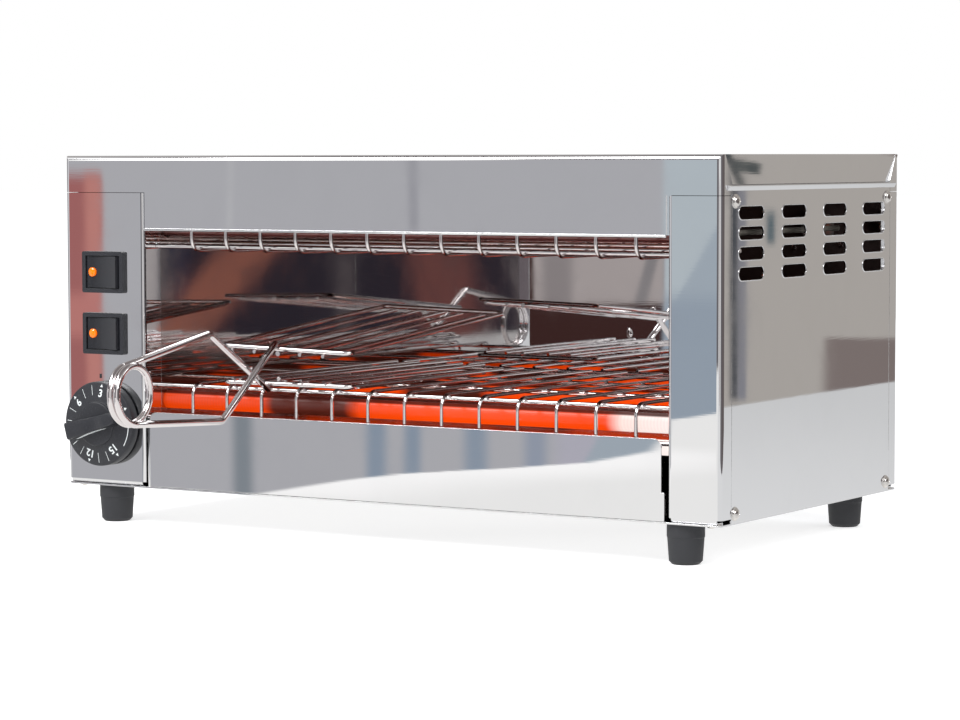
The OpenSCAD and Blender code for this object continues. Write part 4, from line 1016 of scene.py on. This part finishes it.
# The room that the mirrors show, as soft patches by direction.  Turn is degrees to the
# case's right from straight in front of it, lift is degrees above level.
# turn from, to, softness; lift from, to, softness; turn per degree of lift; colour
POST_SLANT = 0.56
ROOM = [
    # broad sides of the room
    (-84, -46, 3, -60, 15, 5, 0, (0.70, 0.70, 0.72)),
    (-45, -22, 2, -60, 15, 5, 0, (0.475, 0.475, 0.50)),
    (14, 56, 4, -60, 30, 5, 0, (0.85, 0.85, 0.85)),
    (-200, 200, 1, 50, 95, 3, 0, (0.24, 0.22, 0.22)),
    (86, 149, 2, -60, 18, 5, 0, (0.14, 0.12, 0.12)),
    (149, 181, 2, -60, 18, 5, 0, (0.46, 0.43, 0.40)),
    (96, 181, 3, 16, 48, 4, 0, (0.42, 0.40, 0.38)),
    (-181, -100, 3, 14, 48, 4, 0, (0.40, 0.38, 0.37)),
    # window that glances off the dial
    (-41, -33, 1, 11, 19, 1.0, 0, (2.6, 2.6, 2.5)),
    # coloured light at the left of the control panel
    (-40.3, -39.0, 0.05, -4.7, -0.3, 0.2, 0, (0.40, 0.15, 0.145)),
    (-39.3, -39.02, 0.08, -4.7, -0.3, 0.2, 0, (0.57, 0.24, 0.21)),
    (-40.3, -39.02, 0.05, -3.3, -2.5, 0.2, 0, (0.55, 0.22, 0.20)),
    # faint upright edges in the header
    (-36.68, -36.56, 0.05, -1.4, 2, 0.2, 0, (0.52, 0.52, 0.54)),
    (-33.37, -33.2, 0.06, -1.4, 2, 0.2, 0, (0.37, 0.37, 0.40)),
    # bands in the tray's front
    (-36.62, -36.28, 0.12, -8, -4.42, 0.06, 0, (0.25, 0.28, 0.31)),
    (-34.15, -33.8, 0.12, -8, -4.42, 0.06, 0, (0.28, 0.34, 0.42)),
    (-33.45, -33.15, 0.12, -8, -4.42, 0.06, 0, (0.28, 0.34, 0.42)),
    (-32.3, -31.9, 0.15, -8, -4.42, 0.06, 0, (0.29, 0.35, 0.43)),
    (-31.2, -30.8, 0.15, -8, -4.42, 0.06, 0, (0.33, 0.37, 0.45)),
    (-30.6, -28.62, 0.2, -8, -4.42, 0.06, 0, (0.49, 0.48, 0.55)),
    # right post: pale above a slanted edge, darker below it
    (-28.6, -26.5, 0.05, -8, 3, 0.3, 0, (0.51, 0.57, 0.61)),
    (-28.3, -26.5, 0.04, -8, 3, 0.3, POST_SLANT, (0.40, 0.46, 0.52)),
    (-28.6, -26.5, 0.05, -8, -2.6, 0.25, 0, (0.34, 0.40, 0.47)),
    # back wall of the chamber, straight back out: a pale upright field over a dark one
    (-38.15, -28.62, 0.04, -4.36, -1.55, 0.1, 0, (0.05, 0.022, 0.020)),
    (-31.02, -28.62, 0.03, -2.72, -1.5, 0.04, 0, (0.42, 0.375, 0.365)),
    (-30.85, -30.3, 0.12, -2.72, -1.5, 0.04, 0, (0.28, 0.25, 0.25)),
    (-29.1, -28.88, 0.05, -2.72, -1.5, 0.04, 0.25, (0.25, 0.235, 0.24)),
    # both walls of the chamber, by two reflections: dark with a brown slanted band
    (30.9, 38.9, 0.04, -4.6, -0.5, 0.2, 0, (0.046, 0.040, 0.056)),
    (37.97, 38.9, 0.03, -4.6, -0.5, 0.2, 0, (0.48, 0.44, 0.43)),
    (37.4, 37.7, 0.06, -4.6, -0.5, 0.2, 0, (0.034, 0.045, 0.095)),
    (36.45, 37.45, 0.1, -4.6, -0.5, 0.2, -0.8, (0.47, 0.185, 0.135)),
    (34.35, 34.75, 0.08, -4.6, -0.5, 0.2, 0, (0.15, 0.13, 0.14)),
    (32.1, 33.2, 0.12, -4.6, -0.5, 0.2, 0.15, (0.27, 0.11, 0.10)),
    (30.9, 31.4, 0.06, -4.6, -0.5, 0.2, 0, (0.18, 0.15, 0.16)),
    # right side panel: dark fields near its edges
    (152.62, 152.76, 0.03, -4.5, 0.2, 0.1, 0, (0.07, 0.075, 0.085)),
    (152.76, 152.92, 0.03, -4.5, 0.2, 0.1, 0, (0.25, 0.25, 0.28)),
    (154.4, 156.6, 0.1, -4.4, -3.35, 0.05, 0, (0.23, 0.19, 0.18)),
    # dark streaks at the front of the hood's side and behind the first vents
    (151.21, 151.39, 0.03, -5.7, -4.6, 0.03, -0.7, (0.05, 0.06, 0.065)),
    (153.13, 153.64, 0.06, -5.16, -4.95, 0.03, 0, (0.09, 0.10, 0.10)),
    (153.30, 153.44, 0.04, -1.6, -1.0, 0.12, 0, (0.10, 0.14, 0.16)),
]
# Degrees below level at which a slanted patch has the turn that its row gives
SLANT_LEVEL = 2.5
WALL, CEILING = (0.17, 0.16, 0.17), (1.0, 1.0, 1.0)
CEILING_LIFT = (27.0, 34.0)
# The room's plain light on what isn't a mirror
ROOM_LIGHT = (0.72, 0.73, 0.75)
IN_DEGREES = 180 / math.pi


def make_world():
    """White to the camera, the room to mirrors and a plain light to the rest."""
    world = bpy.data.worlds.new("room")
    scene.world = world
    world.use_nodes = True
    m = Mat(world.node_tree)
    x, y, z = m.split(m.coords("Generated"))
    turn = m.math("MULTIPLY", m.math("ARCTAN2", x, m.math("MULTIPLY", y, -1.0)), IN_DEGREES).outputs[0]
    lift = m.math("MULTIPLY", m.math("ARCSINE", z), IN_DEGREES).outputs[0]
    colour = m.mix(m.step(lift, *CEILING_LIFT), WALL, CEILING)
    for turn0, turn1, turn_soft, lift0, lift1, lift_soft, slant, patch in ROOM:
        where = turn
        if slant:
            where = m.math("MULTIPLY_ADD", m.math("ADD", lift, SLANT_LEVEL), -slant, turn).outputs[0]
        inside = m.math("MULTIPLY", m.between(where, turn0, turn1, turn_soft),
                        m.between(lift, lift0, lift1, lift_soft))
        colour = m.mix(inside, colour, patch)
    path = m.add("ShaderNodeLightPath")
    shown = m.mix(path.outputs["Is Glossy Ray"], ROOM_LIGHT, colour)
    white = m.mix(path.outputs["Is Camera Ray"], shown, (1, 1, 1))
    background = m.add("ShaderNodeBackground", None, Color=white, Strength=1.0)
    m.add("ShaderNodeOutputWorld", None, Surface=background)


# Lamps that face the case: name, place and size in metres, and power
LAMPS = [("key", (-0.9, -1.3, 1.7), (1.3, 0.9), 34), ("fill", (1.6, -0.9, 1.2), (0.9, 0.9), 12)]
LAMP_AIM = (0, 0, 0.1)


def make_lamp(name, where, size, power):
    data = bpy.data.lights.new(name, "AREA")
    data.shape = "RECTANGLE"
    data.size, data.size_y = size
    data.energy = power
    lamp = bpy.data.objects.new(name, data)
    lamp.location = where
    lamp.rotation_euler = (Vector(LAMP_AIM) - Vector(where)).to_track_quat("-Z", "Y").to_euler()
    scene.collection.objects.link(lamp)


make_floor()
make_world()
for lamp_row in LAMPS:
    make_lamp(*lamp_row)

scene.view_settings.view_transform = "Standard"
